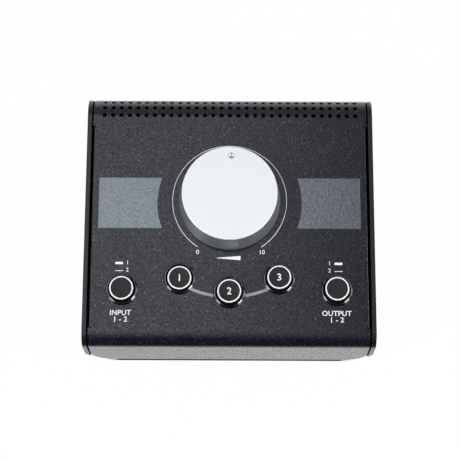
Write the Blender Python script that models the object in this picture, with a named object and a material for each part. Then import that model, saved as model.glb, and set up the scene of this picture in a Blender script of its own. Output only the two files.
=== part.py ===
"""Desktop studio monitor controller: a steel wedge with one large volume knob and five push switches.

Every sub-part is its own closed solid. Units are metres, +Z is up, the front faces -Y, and the origin
is the middle of the overall box on the table. The sloping panel has a frame of its own, an empty on
the knob's axis in the panel's outer face: its X runs across, its Y up the slope and its Z off the face.
"""
import math

import bmesh
import bpy
from mathutils import Matrix, Vector

# Case
CASE_WIDTH = 0.142
SLOPE = math.radians(12.0)
KNOB_FLOOR_HEIGHT = 0.0513
KNOB_TO_FRONT_BEND = 0.0668
KNOB_TO_REAR_BEND = 0.0438
FRONT_BEND_RADIUS = 0.005
REAR_BEND_RADIUS = 0.011
APRON_LEAN = math.radians(7.0)
SHEET = 0.0012
FIT = 0.0003
OVERRUN = 0.002
BEND_STEPS = 7
FACET_SHARE = 0.5

# Side cheeks
CHEEK_THICKNESS = 0.0021
CHEEK_LIFT = 0.0033
CHEEK_FRONT_RADIUS = 0.009
CHEEK_REAR_RADIUS = 0.003

# Top cover
COVER_END_GAP = 0.0006
SLOT_WIDTH = 0.0015
SLOT_FRONT = 0.0634
SLOT_REAR = 0.0382
SLOT_RELIEF = 0.0006
FLANGE_DROP = 0.008
REAR_OVERLAP = 0.009
APRON_LIFT = 0.0052
APRON_CORNER = 0.012
TAB_NOTCH_WIDTH = 0.0026
TAB_NOTCH_HEIGHT = 0.0009
TAB_NOTCH_INSET = 0.0145

# Vent holes
VENT_COLUMNS = 31
VENT_ROWS = 3
VENT_END_INSET = 0.00575
VENT_RADIUS = 0.0011
VENT_SIDES = 8

# Tray
FOOT_HEIGHT = 0.0035
TRAY_SIDE_HEIGHT = 0.014
TRAY_LIP_HEIGHT = 0.012
TRAY_TOP_DROP = 0.002
TRAY_BEND_RADIUS = 0.006

# Feet
FOOT_RADIUS = 0.0055
FOOT_TAPER = 0.0006
FOOT_SIDE_INSET = 0.015
FOOT_FRONT_INSET = 0.018
FOOT_REAR_INSET = 0.012

# Screws
SCREW_RADIUS = 0.0014
SCREW_HOLE_RADIUS = 0.0017
SCREW_HEAD_RADIUS = 0.0027
SCREW_HEAD_DEPTH = 0.0014
SCREW_LENGTH = 0.0058
SCREW_SOCKET_RADIUS = 0.0011
SCREW_SOCKET_DEPTH = 0.0008
PAN_HEAD_RADIUS = 0.0026
PAN_HEAD_HEIGHT = 0.0016
PAN_HEAD_ROUNDING = 0.0005
SCREW_SIDES = 12
CHEEK_SCREW_RISE = 0.0078
CHEEK_SCREW_FRONT_INSET = 0.024
CHEEK_SCREW_REAR_INSET = 0.020
COVER_SCREW_INSET = 0.013

# Control board, hung under the panel on pressed studs
CONTROL_BOARD_GAP = 0.0022
CONTROL_BOARD_FRONT = 0.056
CONTROL_BOARD_REAR = 0.030
BOARD_THICKNESS = 0.0016
STUD_RADIUS = 0.0022
PANEL_STUD_INSET = 0.003
PANEL_STUD_FRONT = 0.029
PANEL_STUD_REAR = 0.025

# Volume control
POT_WIDTH = 0.017
POT_HEIGHT = 0.0095
BUSH_RADIUS = 0.0044
BUSH_RISE = 0.0045
SHAFT_RADIUS = 0.003
SHAFT_FLAT = 0.0016
SHAFT_SEAT = 0.0012
WASHER_RADIUS = 0.0078
WASHER_THICKNESS = 0.0006
POT_NUT_FLATS = 0.013
POT_NUT_THICKNESS = 0.002

# Knob
KNOB_BASE_RADIUS = 0.025
KNOB_TOP_RADIUS = 0.0232
KNOB_RISE = 0.0154
KNOB_PANEL_GAP = 0.0008
KNOB_WALL = 0.002
KNOB_HUB_RADIUS = 0.0058
KNOB_EDGE = 0.0004
KNOB_CAP_THICKNESS = 0.0016
DIMPLE_RADIUS = 0.0013
DIMPLE_DEPTH = 0.0007
DIMPLE_REACH = 0.0185
KNOB_SIDES = 48
DIMPLE_SIDES = 16

# Push switches
BUTTON_CIRCLE = 0.046
BUTTON_FAN = math.radians(31.6)
SELECT_INSET = 0.019
SELECT_REACH = 0.0447
CAP_RADIUS = 0.006
CAP_RISE = 0.0044
CAP_SINK = 0.0014
CAP_EDGE = 0.0004
BUTTON_TRAVEL = 0.0028
LATCH_DEPTH = 0.0022
COLLAR_CLEARANCE = 0.00035
COLLAR_SLEEVE_WALL = 0.0004
COLLAR_RADIUS = 0.0078
COLLAR_RISE = 0.001
COLLAR_SINK = 0.0022
PLUNGER_WIDTH = 0.0033
PLUNGER_GRIP = 0.0033
PLUNGER_SEAT = 0.0024
SWITCH_WIDTH = 0.0085
SWITCH_HEIGHT = 0.0065
SWITCH_FLOOR = 0.0009
ROUND_SIDES = 24

# Jacks
JACK_COUNT = 8
JACK_END_INSET = 0.01675
JACK_FLOOR_HEIGHT = 0.025
JACK_BODY_GAP = 0.002
JACK_BODY_HEIGHT = 0.014
JACK_BODY_LENGTH = 0.024
JACK_NOSE_RADIUS = 0.0047
JACK_NOSE_REACH = 0.0036
JACK_BORE_RADIUS = 0.0033
JACK_END_WALL = 0.0015
JACK_BORE_SIDES = 12
JACK_NUT_FLATS = 0.0117
JACK_NUT_THICKNESS = 0.002
JACK_BOARD_GAP = 0.0034
JACK_BOARD_APRON = 0.010
TRAY_STUD_INSET = 0.004

# Ribbon cable
RIBBON_WIDTH = 0.020
RIBBON_THICKNESS = 0.0009
RIBBON_STEPS = 12
RIBBON_BEND_REACH = 0.012
PLUG_LENGTH = 0.006
PLUG_HEIGHT = 0.004
PLUG_SIDE = 0.002
RIBBON_SIDE_INSET = 0.030
RIBBON_BOARD_INSET = 0.006

# Places worked out from the sizes above
HALF_WIDTH = CASE_WIDTH / 2
CHEEK_INNER = HALF_WIDTH - CHEEK_THICKNESS
COVER_HALF = CHEEK_INNER - COVER_END_GAP
FLANGE_FACE = CHEEK_INNER - SLOT_WIDTH
TRAY_HALF = CHEEK_INNER - FIT
TAB_NOTCH_X = HALF_WIDTH - TAB_NOTCH_INSET
FOOT_X = HALF_WIDTH - FOOT_SIDE_INSET
COVER_SCREW_X = HALF_WIDTH - COVER_SCREW_INSET
SELECT_X = HALF_WIDTH - SELECT_INSET
VENT_PITCH = 2 * (COVER_HALF - VENT_END_INSET) / (VENT_COLUMNS - 1)
CONTROL_BOARD_HALF = FLANGE_FACE - SHEET - CONTROL_BOARD_GAP
PANEL_STUD_X = CONTROL_BOARD_HALF - PANEL_STUD_INSET
RIBBON_X = CONTROL_BOARD_HALF - RIBBON_SIDE_INSET
JACK_BOARD_HALF = TRAY_HALF - SHEET - JACK_BOARD_GAP
TRAY_STUD_X = JACK_BOARD_HALF - TRAY_STUD_INSET
JACK_PITCH = (CASE_WIDTH - 2 * JACK_END_INSET) / (JACK_COUNT - 1)
JACK_BODY_WIDTH = JACK_PITCH - JACK_BODY_GAP
SIN_SLOPE = math.sin(SLOPE)
COS_SLOPE = math.cos(SLOPE)
FRONT_FACE = -KNOB_TO_FRONT_BEND * COS_SLOPE + FRONT_BEND_RADIUS * SIN_SLOPE - FRONT_BEND_RADIUS
REAR_FACE = KNOB_TO_REAR_BEND * COS_SLOPE + REAR_BEND_RADIUS * SIN_SLOPE + REAR_BEND_RADIUS
TRAY_REAR_FACE = REAR_FACE - SHEET - FIT
NOSE_END = TRAY_REAR_FACE + JACK_NOSE_REACH
KNOB_Y = -(FRONT_FACE + NOSE_END) / 2
PANEL_MATRIX = Matrix.Translation((0, KNOB_Y, KNOB_FLOOR_HEIGHT)) @ Matrix.Rotation(SLOPE, 4, "X")
POT_TOP = -SHEET - FIT
BOARD_TOP = POT_TOP - POT_HEIGHT - FIT
SWITCH_TOP = BOARD_TOP + FIT + SWITCH_HEIGHT
JACK_BOARD_TOP = JACK_FLOOR_HEIGHT - JACK_BODY_HEIGHT / 2 - FIT
JACK_WALL_Y = KNOB_Y + TRAY_REAR_FACE
JACK_BODY_FRONT = JACK_WALL_Y - SHEET - FIT - JACK_BODY_LENGTH

FINISHES = {
    "case_black": ((0.022, 0.021, 0.025), 0.55, 0.0),
    "tray_black": ((0.02, 0.02, 0.021), 0.6, 0.0),
    "cheek_black": ((0.03, 0.03, 0.032), 0.5, 0.0),
    "knob_silver": ((0.72, 0.72, 0.73), 0.35, 0.6),
    "button_black": ((0.012, 0.012, 0.013), 0.4, 0.0),
    "collar_gloss": ((0.01, 0.01, 0.011), 0.15, 0.0),
    "plunger_white": ((0.75, 0.75, 0.72), 0.5, 0.0),
    "switch_grey": ((0.09, 0.09, 0.1), 0.5, 0.0),
    "screw_black": ((0.04, 0.04, 0.042), 0.35, 0.8),
    "plated_steel": ((0.55, 0.55, 0.56), 0.3, 1.0),
    "rubber": ((0.02, 0.02, 0.02), 0.9, 0.0),
    "board_green": ((0.02, 0.12, 0.05), 0.5, 0.0),
    "ribbon_grey": ((0.45, 0.45, 0.47), 0.6, 0.0),
    "jack_plastic": ((0.015, 0.015, 0.016), 0.45, 0.0),
}


def clear_scene():
    """Remove every object of the scene that the script starts in."""
    for item in list(bpy.data.objects):
        bpy.data.objects.remove(item, do_unlink=True)


def finish(name):
    """The material of one finish, made once and shared by the pieces that have it."""
    found = bpy.data.materials.get(name)
    if found:
        return found
    colour, roughness, metallic = FINISHES[name]
    material = bpy.data.materials.new(name)
    material.use_nodes = True
    shader = material.node_tree.nodes["Principled BSDF"]
    shader.inputs["Base Color"].default_value = (*colour, 1.0)
    shader.inputs["Roughness"].default_value = roughness
    shader.inputs["Metallic"].default_value = metallic
    material.diffuse_color = (*colour, 1.0)
    return material


def empty(name, matrix, parent=None):
    """A guide point that pieces are parented to."""
    guide = bpy.data.objects.new(name, None)
    guide.empty_display_size = KNOB_BASE_RADIUS
    bpy.context.collection.objects.link(guide)
    if parent:
        guide.parent = parent
    guide.matrix_basis = matrix
    return guide


def mesh_from(builder, name):
    """Close a bmesh, turn its faces outwards and return it as a mesh."""
    bmesh.ops.recalc_face_normals(builder, faces=builder.faces)
    mesh = bpy.data.meshes.new(name)
    builder.to_mesh(mesh)
    builder.free()
    return mesh


def piece(name, mesh, look, parent=None, place=None, smooth=False):
    """A named solid of the part with its finish, its parent and its place under that parent."""
    made = bpy.data.objects.new(name, mesh)
    bpy.context.collection.objects.link(made)
    mesh.materials.clear()
    mesh.materials.append(finish(look))
    if parent:
        made.parent = parent
    made.matrix_basis = place if place else Matrix.Identity(4)
    if smooth:
        mesh.shade_smooth()
        mesh.set_sharp_from_angle(angle=math.radians(35))
    return made


def combine(mesh, tools, operation):
    """Cut a mesh with other meshes, or join them to it, and return the result."""
    base = bpy.data.objects.new("blank", mesh)
    bpy.context.collection.objects.link(base)
    cutters = []
    for tool in tools:
        cutter = bpy.data.objects.new("cutter", tool)
        cutter.hide_render = True
        cutter.display_type = "WIRE"
        bpy.context.collection.objects.link(cutter)
        change = base.modifiers.new("combine", "BOOLEAN")
        change.operation = operation
        change.solver = "EXACT"
        change.object = cutter
        cutters.append(cutter)
    bpy.context.view_layer.update()
    view = bpy.context.evaluated_depsgraph_get()
    result = bpy.data.meshes.new_from_object(base.evaluated_get(view))
    for item in [base, *cutters]:
        bpy.data.objects.remove(item, do_unlink=True)
    return result


def cut(mesh, *tools):
    """The mesh with the tools taken out of it."""
    return combine(mesh, tools, "DIFFERENCE")


def join(mesh, *tools):
    """The mesh with the tools welded to it."""
    return combine(mesh, tools, "UNION")


def placed(mesh, matrix):
    """The same mesh moved by a matrix."""
    mesh.transform(matrix)
    return mesh


def block(low, high):
    """A box between two corners."""
    builder = bmesh.new()
    bmesh.ops.create_cube(builder, size=1.0)
    span = Vector(high) - Vector(low)
    middle = (Vector(high) + Vector(low)) / 2
    for vertex in builder.verts:
        vertex.co = Vector((vertex.co.x * span.x, vertex.co.y * span.y, vertex.co.z * span.z)) + middle
    return mesh_from(builder, "block")


def plate(outline, low, high):
    """A flat outline given in Y and Z, drawn out along X."""
    builder = bmesh.new()
    near = [builder.verts.new((low, y, z)) for y, z in outline]
    far = [builder.verts.new((high, y, z)) for y, z in outline]
    builder.faces.new(near)
    builder.faces.new(list(reversed(far)))
    count = len(outline)
    for index in range(count):
        after = (index + 1) % count
        builder.faces.new((near[index], far[index], far[after], near[after]))
    return mesh_from(builder, "plate")


def prism(outline, low, high):
    """A flat outline given in X and Y, drawn out along Z."""
    turn = Matrix(((0, 1, 0, 0), (0, 0, 1, 0), (1, 0, 0, 0), (0, 0, 0, 1)))
    return placed(plate(outline, low, high), turn)


def slab(outline, low, high):
    """A flat outline given in X and Z, drawn out along Y."""
    return placed(plate(outline, -high, -low), Matrix.Rotation(-math.pi / 2, 4, "Z"))


def turned(profile, sides):
    """A profile of radius and height, turned round Z. It is closed, or it starts and ends on the axis."""
    builder = bmesh.new()
    rings = []
    for radius, height in profile:
        if radius == 0:
            rings.append([builder.verts.new((0, 0, height))] * sides)
            continue
        ring = []
        for index in range(sides):
            angle = math.tau * (index + FACET_SHARE) / sides
            ring.append(builder.verts.new((radius * math.cos(angle), radius * math.sin(angle), height)))
        rings.append(ring)
    closed = profile[0][0] > 0
    count = len(rings)
    for index in range(count if closed else count - 1):
        low = rings[index]
        high = rings[(index + 1) % count]
        for side in range(sides):
            after = (side + 1) % sides
            corners = [low[side], low[after], high[after], high[side]]
            builder.faces.new(list(dict.fromkeys(corners)))
    return mesh_from(builder, "turned")


def rod(radius, low, high, sides):
    """A plain round bar along Z."""
    return turned([(0, low), (radius, low), (radius, high), (0, high)], sides)


def ring(inner, outer, low, high, sides):
    """A plain round ring along Z."""
    return turned([(inner, low), (outer, low), (outer, high), (inner, high)], sides)


def hexagon(flats):
    """The outline of a hexagon by its width across flats, with flats to the left and right."""
    radius = flats / 2 / math.cos(math.pi / 6)
    turns = [math.tau * (corner + FACET_SHARE) / 6 for corner in range(6)]
    return [(radius * math.cos(angle), radius * math.sin(angle)) for angle in turns]


def panel_point(rise, out):
    """World Y and Z of a point of the panel's frame: its distance up the slope and off the face."""
    point = PANEL_MATRIX @ Vector((0, rise, out))
    return point.y, point.z


def arc(centre, radius, start, end, steps):
    """Points of an arc in world Y and Z, by the angles of its ends from +Y."""
    points = []
    for index in range(steps + 1):
        angle = start + (end - start) * index / steps
        points.append((centre[0] + radius * math.cos(angle), centre[1] + radius * math.sin(angle)))
    return points


def rear_centre():
    """Centre of the rear roll in world Y and Z."""
    return panel_point(KNOB_TO_REAR_BEND, -REAR_BEND_RADIUS)


def front_centre():
    """Centre of the front bend in world Y and Z."""
    return panel_point(-KNOB_TO_FRONT_BEND, -FRONT_BEND_RADIUS)


def case_line(inset):
    """The case's outer line over the roll, the panel and the front bend, moved inwards by an inset."""
    rear = arc(rear_centre(), REAR_BEND_RADIUS - inset, 0, math.pi / 2 + SLOPE, BEND_STEPS)
    front = arc(front_centre(), FRONT_BEND_RADIUS - inset, math.pi / 2 + SLOPE, math.pi + APRON_LEAN, BEND_STEPS)
    return rear + front


def apron_y(height, inset):
    """World Y of the apron's face at a height, moved inwards by an inset."""
    centre = front_centre()
    lean = math.pi + APRON_LEAN
    reach = FRONT_BEND_RADIUS - inset
    return centre[0] + (reach - (height - centre[1]) * math.sin(lean)) / math.cos(lean)


def lower_front_arc(floor, radius, inset):
    """The rounding between the apron's slope and a level floor, for a line inset from the apron's face."""
    height = floor + radius
    centre = (apron_y(height, inset + radius), height)
    return arc(centre, radius, math.pi + APRON_LEAN, 3 * math.pi / 2, BEND_STEPS)


def mirrored_plates(outline, half_inner, half_outer):
    """Two plates of one outline at equal distances left and right of the middle."""
    return plate(outline, half_inner, half_outer), plate(outline, -half_outer, -half_inner)


def mirrored_pair(low, high, half_inner, half_outer):
    """Two boxes at equal distances left and right of the middle, by their Y and Z corners."""
    right = block((half_inner, *low), (half_outer, *high))
    left = block((-half_outer, *low), (-half_inner, *high))
    return left, right


def vent_cutter():
    """All vent holes in the panel's frame, as bars square to the rear roll."""
    builder = bmesh.new()
    step = VENT_PITCH / REAR_BEND_RADIUS
    inner = REAR_BEND_RADIUS - SHEET - OVERRUN
    outer = REAR_BEND_RADIUS + OVERRUN
    for row in range(VENT_ROWS):
        for column in range(VENT_COLUMNS):
            across = (column - (VENT_COLUMNS - 1) / 2) * VENT_PITCH
            place = Matrix.Translation((across, KNOB_TO_REAR_BEND, -REAR_BEND_RADIUS))
            place = place @ Matrix.Rotation(-row * step, 4, "X")
            place = place @ Matrix.Translation((0, 0, (inner + outer) / 2))
            place = place @ Matrix.Rotation(math.pi / VENT_SIDES, 4, "Z")
            bmesh.ops.create_cone(builder, cap_ends=True, segments=VENT_SIDES, radius1=VENT_RADIUS,
                                  radius2=VENT_RADIUS, depth=outer - inner, matrix=place)
    return mesh_from(builder, "vents")


def apron_corner_cutter(side):
    """What rounds off one lower corner of the apron, in world places."""
    middle = (COVER_HALF - APRON_CORNER, APRON_LIFT + APRON_CORNER)
    outline = arc(middle, APRON_CORNER, 0, -math.pi / 2, BEND_STEPS)
    outline.append((middle[0], APRON_LIFT - OVERRUN))
    outline.append((COVER_HALF + OVERRUN, APRON_LIFT - OVERRUN))
    outline.append((COVER_HALF + OVERRUN, middle[1]))
    low = KNOB_Y + FRONT_FACE - OVERRUN
    high = apron_y(APRON_LIFT, SHEET) + OVERRUN
    return slab([(across * side, height) for across, height in outline], low, high)


def button_places():
    """Name, panel X and panel Y of each push switch, from the left."""
    return [
        ("source_select", -SELECT_X, -SELECT_REACH),
        ("mono", -BUTTON_CIRCLE * math.sin(BUTTON_FAN), -BUTTON_CIRCLE * math.cos(BUTTON_FAN)),
        ("mute", 0, -BUTTON_CIRCLE),
        ("dim", BUTTON_CIRCLE * math.sin(BUTTON_FAN), -BUTTON_CIRCLE * math.cos(BUTTON_FAN)),
        ("monitor_select", SELECT_X, -SELECT_REACH),
    ]


def jack_places():
    """World X of each jack, from the left as the front is faced."""
    return [(index - (JACK_COUNT - 1) / 2) * JACK_PITCH for index in range(JACK_COUNT)]


def cover_screw_places():
    """World X and Z of the two screws in the cover's rear edge."""
    height = rear_centre()[1] - REAR_OVERLAP / 2
    return [(-COVER_SCREW_X, height), (COVER_SCREW_X, height)]


def cheek_screw_places():
    """World Y and Z of the two screws in each cheek."""
    height = FOOT_HEIGHT + SHEET + CHEEK_SCREW_RISE
    front = KNOB_Y + FRONT_FACE + CHEEK_SCREW_FRONT_INSET
    rear = KNOB_Y + REAR_FACE - CHEEK_SCREW_REAR_INSET
    return [("front", front, height), ("rear", rear, height)]


def along_y(mesh, x, y, z):
    """A mesh drawn along +Z, turned to run along +Y and moved to a place."""
    turn = Matrix.Translation((x, y, z)) @ Matrix.Rotation(-math.pi / 2, 4, "X")
    return placed(mesh, turn)


def along_x(mesh, x, y, z, side):
    """A mesh drawn along +Z, turned to run outwards along X on one side and moved to a place."""
    turn = Matrix.Translation((x, y, z)) @ Matrix.Rotation(side * math.pi / 2, 4, "Y")
    return placed(mesh, turn)


def make_top_cover():
    """The bent sheet: apron, panel with side flanges, perforated roll and rear edge."""
    rear_low = rear_centre()[1] - REAR_OVERLAP
    outer = case_line(0)
    inner = case_line(SHEET)
    outline = [(KNOB_Y + REAR_FACE, rear_low), *outer, (apron_y(APRON_LIFT, 0), APRON_LIFT)]
    outline.append((apron_y(APRON_LIFT, SHEET), APRON_LIFT))
    outline.extend(reversed(inner))
    outline.append((KNOB_Y + REAR_FACE - SHEET, rear_low))
    sheet = plate(outline, -COVER_HALF, COVER_HALF)
    world_to_panel = PANEL_MATRIX.inverted()
    corners = [placed(apron_corner_cutter(side), world_to_panel) for side in (-1, 1)]
    notches = []
    for side in (-1, 1):
        low = (side * TAB_NOTCH_X - TAB_NOTCH_WIDTH / 2, apron_y(APRON_LIFT, 0) - OVERRUN, 0)
        high = (side * TAB_NOTCH_X + TAB_NOTCH_WIDTH / 2, apron_y(APRON_LIFT, SHEET) + OVERRUN,
                APRON_LIFT + TAB_NOTCH_HEIGHT)
        notches.append(placed(block(low, high), world_to_panel))
    screws = []
    for x, z in cover_screw_places():
        bar = rod(SCREW_HOLE_RADIUS, -SHEET - OVERRUN, OVERRUN, SCREW_SIDES)
        screws.append(placed(along_y(bar, x, KNOB_Y + REAR_FACE, z), world_to_panel))
    sheet = placed(sheet, world_to_panel)
    slots = mirrored_pair((-SLOT_FRONT, -SHEET - OVERRUN), (SLOT_REAR, OVERRUN), FLANGE_FACE,
                          COVER_HALF + OVERRUN)
    flanges = mirrored_pair((-SLOT_FRONT + SLOT_RELIEF, -FLANGE_DROP), (SLOT_REAR - SLOT_RELIEF, -SHEET / 2),
                            FLANGE_FACE - SHEET, FLANGE_FACE)
    holes = [rod(BUSH_RADIUS + FIT, -SHEET - OVERRUN, OVERRUN, ROUND_SIDES)]
    hole_radius = CAP_RADIUS + COLLAR_CLEARANCE + COLLAR_SLEEVE_WALL + FIT
    for _, x, y in button_places():
        hole = rod(hole_radius, -SHEET - OVERRUN, OVERRUN, ROUND_SIDES)
        holes.append(placed(hole, Matrix.Translation((x, y, 0))))
    studs = []
    for side in (-1, 1):
        for y in (-PANEL_STUD_FRONT, PANEL_STUD_REAR):
            stud = rod(STUD_RADIUS, BOARD_TOP + FIT, -SHEET / 2, VENT_SIDES)
            studs.append(placed(stud, Matrix.Translation((side * PANEL_STUD_X, y, 0))))
    sheet = cut(sheet, *slots)
    sheet = join(sheet, *flanges, *studs)
    return cut(sheet, vent_cutter(), *holes, *corners, *notches, *screws)


def make_chassis_tray():
    """The lower case: base, front lip, low sides, the rear wall with its jack holes, and the board studs."""
    base = FOOT_HEIGHT
    lip = base + TRAY_LIP_HEIGHT
    behind = SHEET + FIT
    rear = KNOB_Y + TRAY_REAR_FACE
    top = rear_centre()[1] - TRAY_TOP_DROP
    bend = TRAY_BEND_RADIUS
    outline = [
        (apron_y(lip, behind), lip),
        *lower_front_arc(base, bend, behind),
        (rear, base),
        (rear, top),
        (rear - SHEET, top),
        (rear - SHEET, base + SHEET),
        *reversed(lower_front_arc(base + SHEET, bend - SHEET, behind + SHEET)),
        (apron_y(lip, behind + SHEET), lip),
    ]
    tray = plate(outline, -TRAY_HALF, TRAY_HALF)
    middle = SHEET / 2
    side_top = base + TRAY_SIDE_HEIGHT
    side_outline = [
        (apron_y(side_top, behind + middle), side_top),
        *lower_front_arc(base + middle, bend - middle, behind + middle),
        (rear - middle, base + middle),
        (rear - middle, side_top),
    ]
    sides = mirrored_plates(side_outline, TRAY_HALF - SHEET, TRAY_HALF)
    studs = []
    stud_top = JACK_BOARD_TOP - BOARD_THICKNESS - FIT
    for side in (-1, 1):
        for y in (JACK_BODY_FRONT - JACK_BOARD_APRON + TRAY_STUD_INSET, rear - SHEET - TRAY_STUD_INSET):
            stud = rod(STUD_RADIUS, base + SHEET / 2, stud_top, VENT_SIDES)
            studs.append(placed(stud, Matrix.Translation((side * TRAY_STUD_X, y, 0))))
    tray = join(tray, *sides, *studs)
    holes = []
    for x in jack_places():
        bar = rod(JACK_NOSE_RADIUS + FIT, -SHEET - OVERRUN, OVERRUN, ROUND_SIDES)
        holes.append(along_y(bar, x, rear, JACK_FLOOR_HEIGHT))
    for x, z in cover_screw_places():
        bar = rod(SCREW_HOLE_RADIUS, -SHEET - OVERRUN, OVERRUN, SCREW_SIDES)
        holes.append(along_y(bar, x, rear, z))
    for _, y, z in cheek_screw_places():
        for side in (-1, 1):
            bar = rod(SCREW_HOLE_RADIUS, -SHEET - OVERRUN, OVERRUN, SCREW_SIDES)
            holes.append(along_x(bar, side * TRAY_HALF, y, z, side))
    return cut(tray, *holes)


def make_side_cheek(side):
    """A side plate with the case's outline, rounded below, and countersunk for its two screws."""
    low = CHEEK_LIFT
    rear = KNOB_Y + REAR_FACE
    rear_corner = arc((rear - CHEEK_REAR_RADIUS, low + CHEEK_REAR_RADIUS), CHEEK_REAR_RADIUS, -math.pi / 2, 0,
                      BEND_STEPS)
    front_corner = lower_front_arc(low, CHEEK_FRONT_RADIUS, 0)
    outline = [*rear_corner, *case_line(0), *front_corner]
    sheet = plate(outline, *sorted((side * CHEEK_INNER, side * HALF_WIDTH)))
    holes = []
    for _, y, z in cheek_screw_places():
        seat = SCREW_HEAD_DEPTH + FIT
        wide = SCREW_HEAD_RADIUS + FIT
        bar = turned([(0, -CHEEK_THICKNESS - OVERRUN), (SCREW_HOLE_RADIUS, -CHEEK_THICKNESS - OVERRUN),
                      (SCREW_HOLE_RADIUS, -seat), (wide, 0), (wide, OVERRUN), (0, OVERRUN)], SCREW_SIDES)
        holes.append(along_x(bar, side * HALF_WIDTH, y, z, side))
    return cut(sheet, *holes)


def countersunk_screw():
    """A flat-headed screw with a hexagon socket, its head's face at height zero."""
    body = turned([(0, -SCREW_LENGTH), (SCREW_RADIUS, -SCREW_LENGTH), (SCREW_RADIUS, -SCREW_HEAD_DEPTH),
                   (SCREW_HEAD_RADIUS, -FIT), (SCREW_HEAD_RADIUS, 0), (0, 0)], SCREW_SIDES)
    flats = 2 * SCREW_SOCKET_RADIUS * math.cos(math.pi / 6)
    return cut(body, prism(hexagon(flats), -SCREW_SOCKET_DEPTH, OVERRUN))


def pan_screw():
    """A round-headed screw with a hexagon socket, the underside of its head at height zero."""
    body = turned([(0, -SCREW_LENGTH), (SCREW_RADIUS, -SCREW_LENGTH), (SCREW_RADIUS, 0), (PAN_HEAD_RADIUS, 0),
                   (PAN_HEAD_RADIUS, PAN_HEAD_HEIGHT - PAN_HEAD_ROUNDING),
                   (PAN_HEAD_RADIUS - PAN_HEAD_ROUNDING, PAN_HEAD_HEIGHT), (0, PAN_HEAD_HEIGHT)], SCREW_SIDES)
    flats = 2 * SCREW_SOCKET_RADIUS * math.cos(math.pi / 6)
    return cut(body, prism(hexagon(flats), PAN_HEAD_HEIGHT - SCREW_SOCKET_DEPTH, PAN_HEAD_HEIGHT + OVERRUN))


def make_case(panel):
    """Cover, tray, cheeks, feet and the screws that hold them."""
    piece("top_cover", make_top_cover(), "case_black", panel)
    piece("chassis_tray", make_chassis_tray(), "tray_black")
    foot = turned([(0, 0), (FOOT_RADIUS - FOOT_TAPER, 0), (FOOT_RADIUS, FOOT_HEIGHT - FIT),
                   (0, FOOT_HEIGHT - FIT)], ROUND_SIDES)
    rows = [("front", KNOB_Y + FRONT_FACE + FOOT_FRONT_INSET), ("rear", KNOB_Y + REAR_FACE - FOOT_REAR_INSET)]
    for side, hand in ((-1, "left"), (1, "right")):
        piece("side_cheek_" + hand, make_side_cheek(side), "cheek_black")
        for row, y in rows:
            place = Matrix.Translation((side * FOOT_X, y, 0))
            piece("foot_" + row + "_" + hand, foot, "rubber", place=place, smooth=True)
        for row, y, z in cheek_screw_places():
            screw = along_x(countersunk_screw(), 0, 0, 0, side)
            place = Matrix.Translation((side * HALF_WIDTH, y, z))
            piece("cheek_screw_" + row + "_" + hand, screw, "screw_black", place=place, smooth=True)
    for (x, z), hand in zip(cover_screw_places(), ("left", "right")):
        screw = along_y(pan_screw(), 0, 0, 0)
        place = Matrix.Translation((x, KNOB_Y + REAR_FACE + FIT, z))
        piece("cover_screw_" + hand, screw, "screw_black", place=place, smooth=True)


def d_outline(radius, flat):
    """A round outline with one flat, at a distance from the centre towards +Y."""
    turn = math.acos(flat / radius)
    start = math.pi / 2 + turn
    sweep = math.tau - 2 * turn
    points = []
    for index in range(ROUND_SIDES + 1):
        angle = start + sweep * index / ROUND_SIDES
        points.append((radius * math.cos(angle), radius * math.sin(angle)))
    return points


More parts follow.
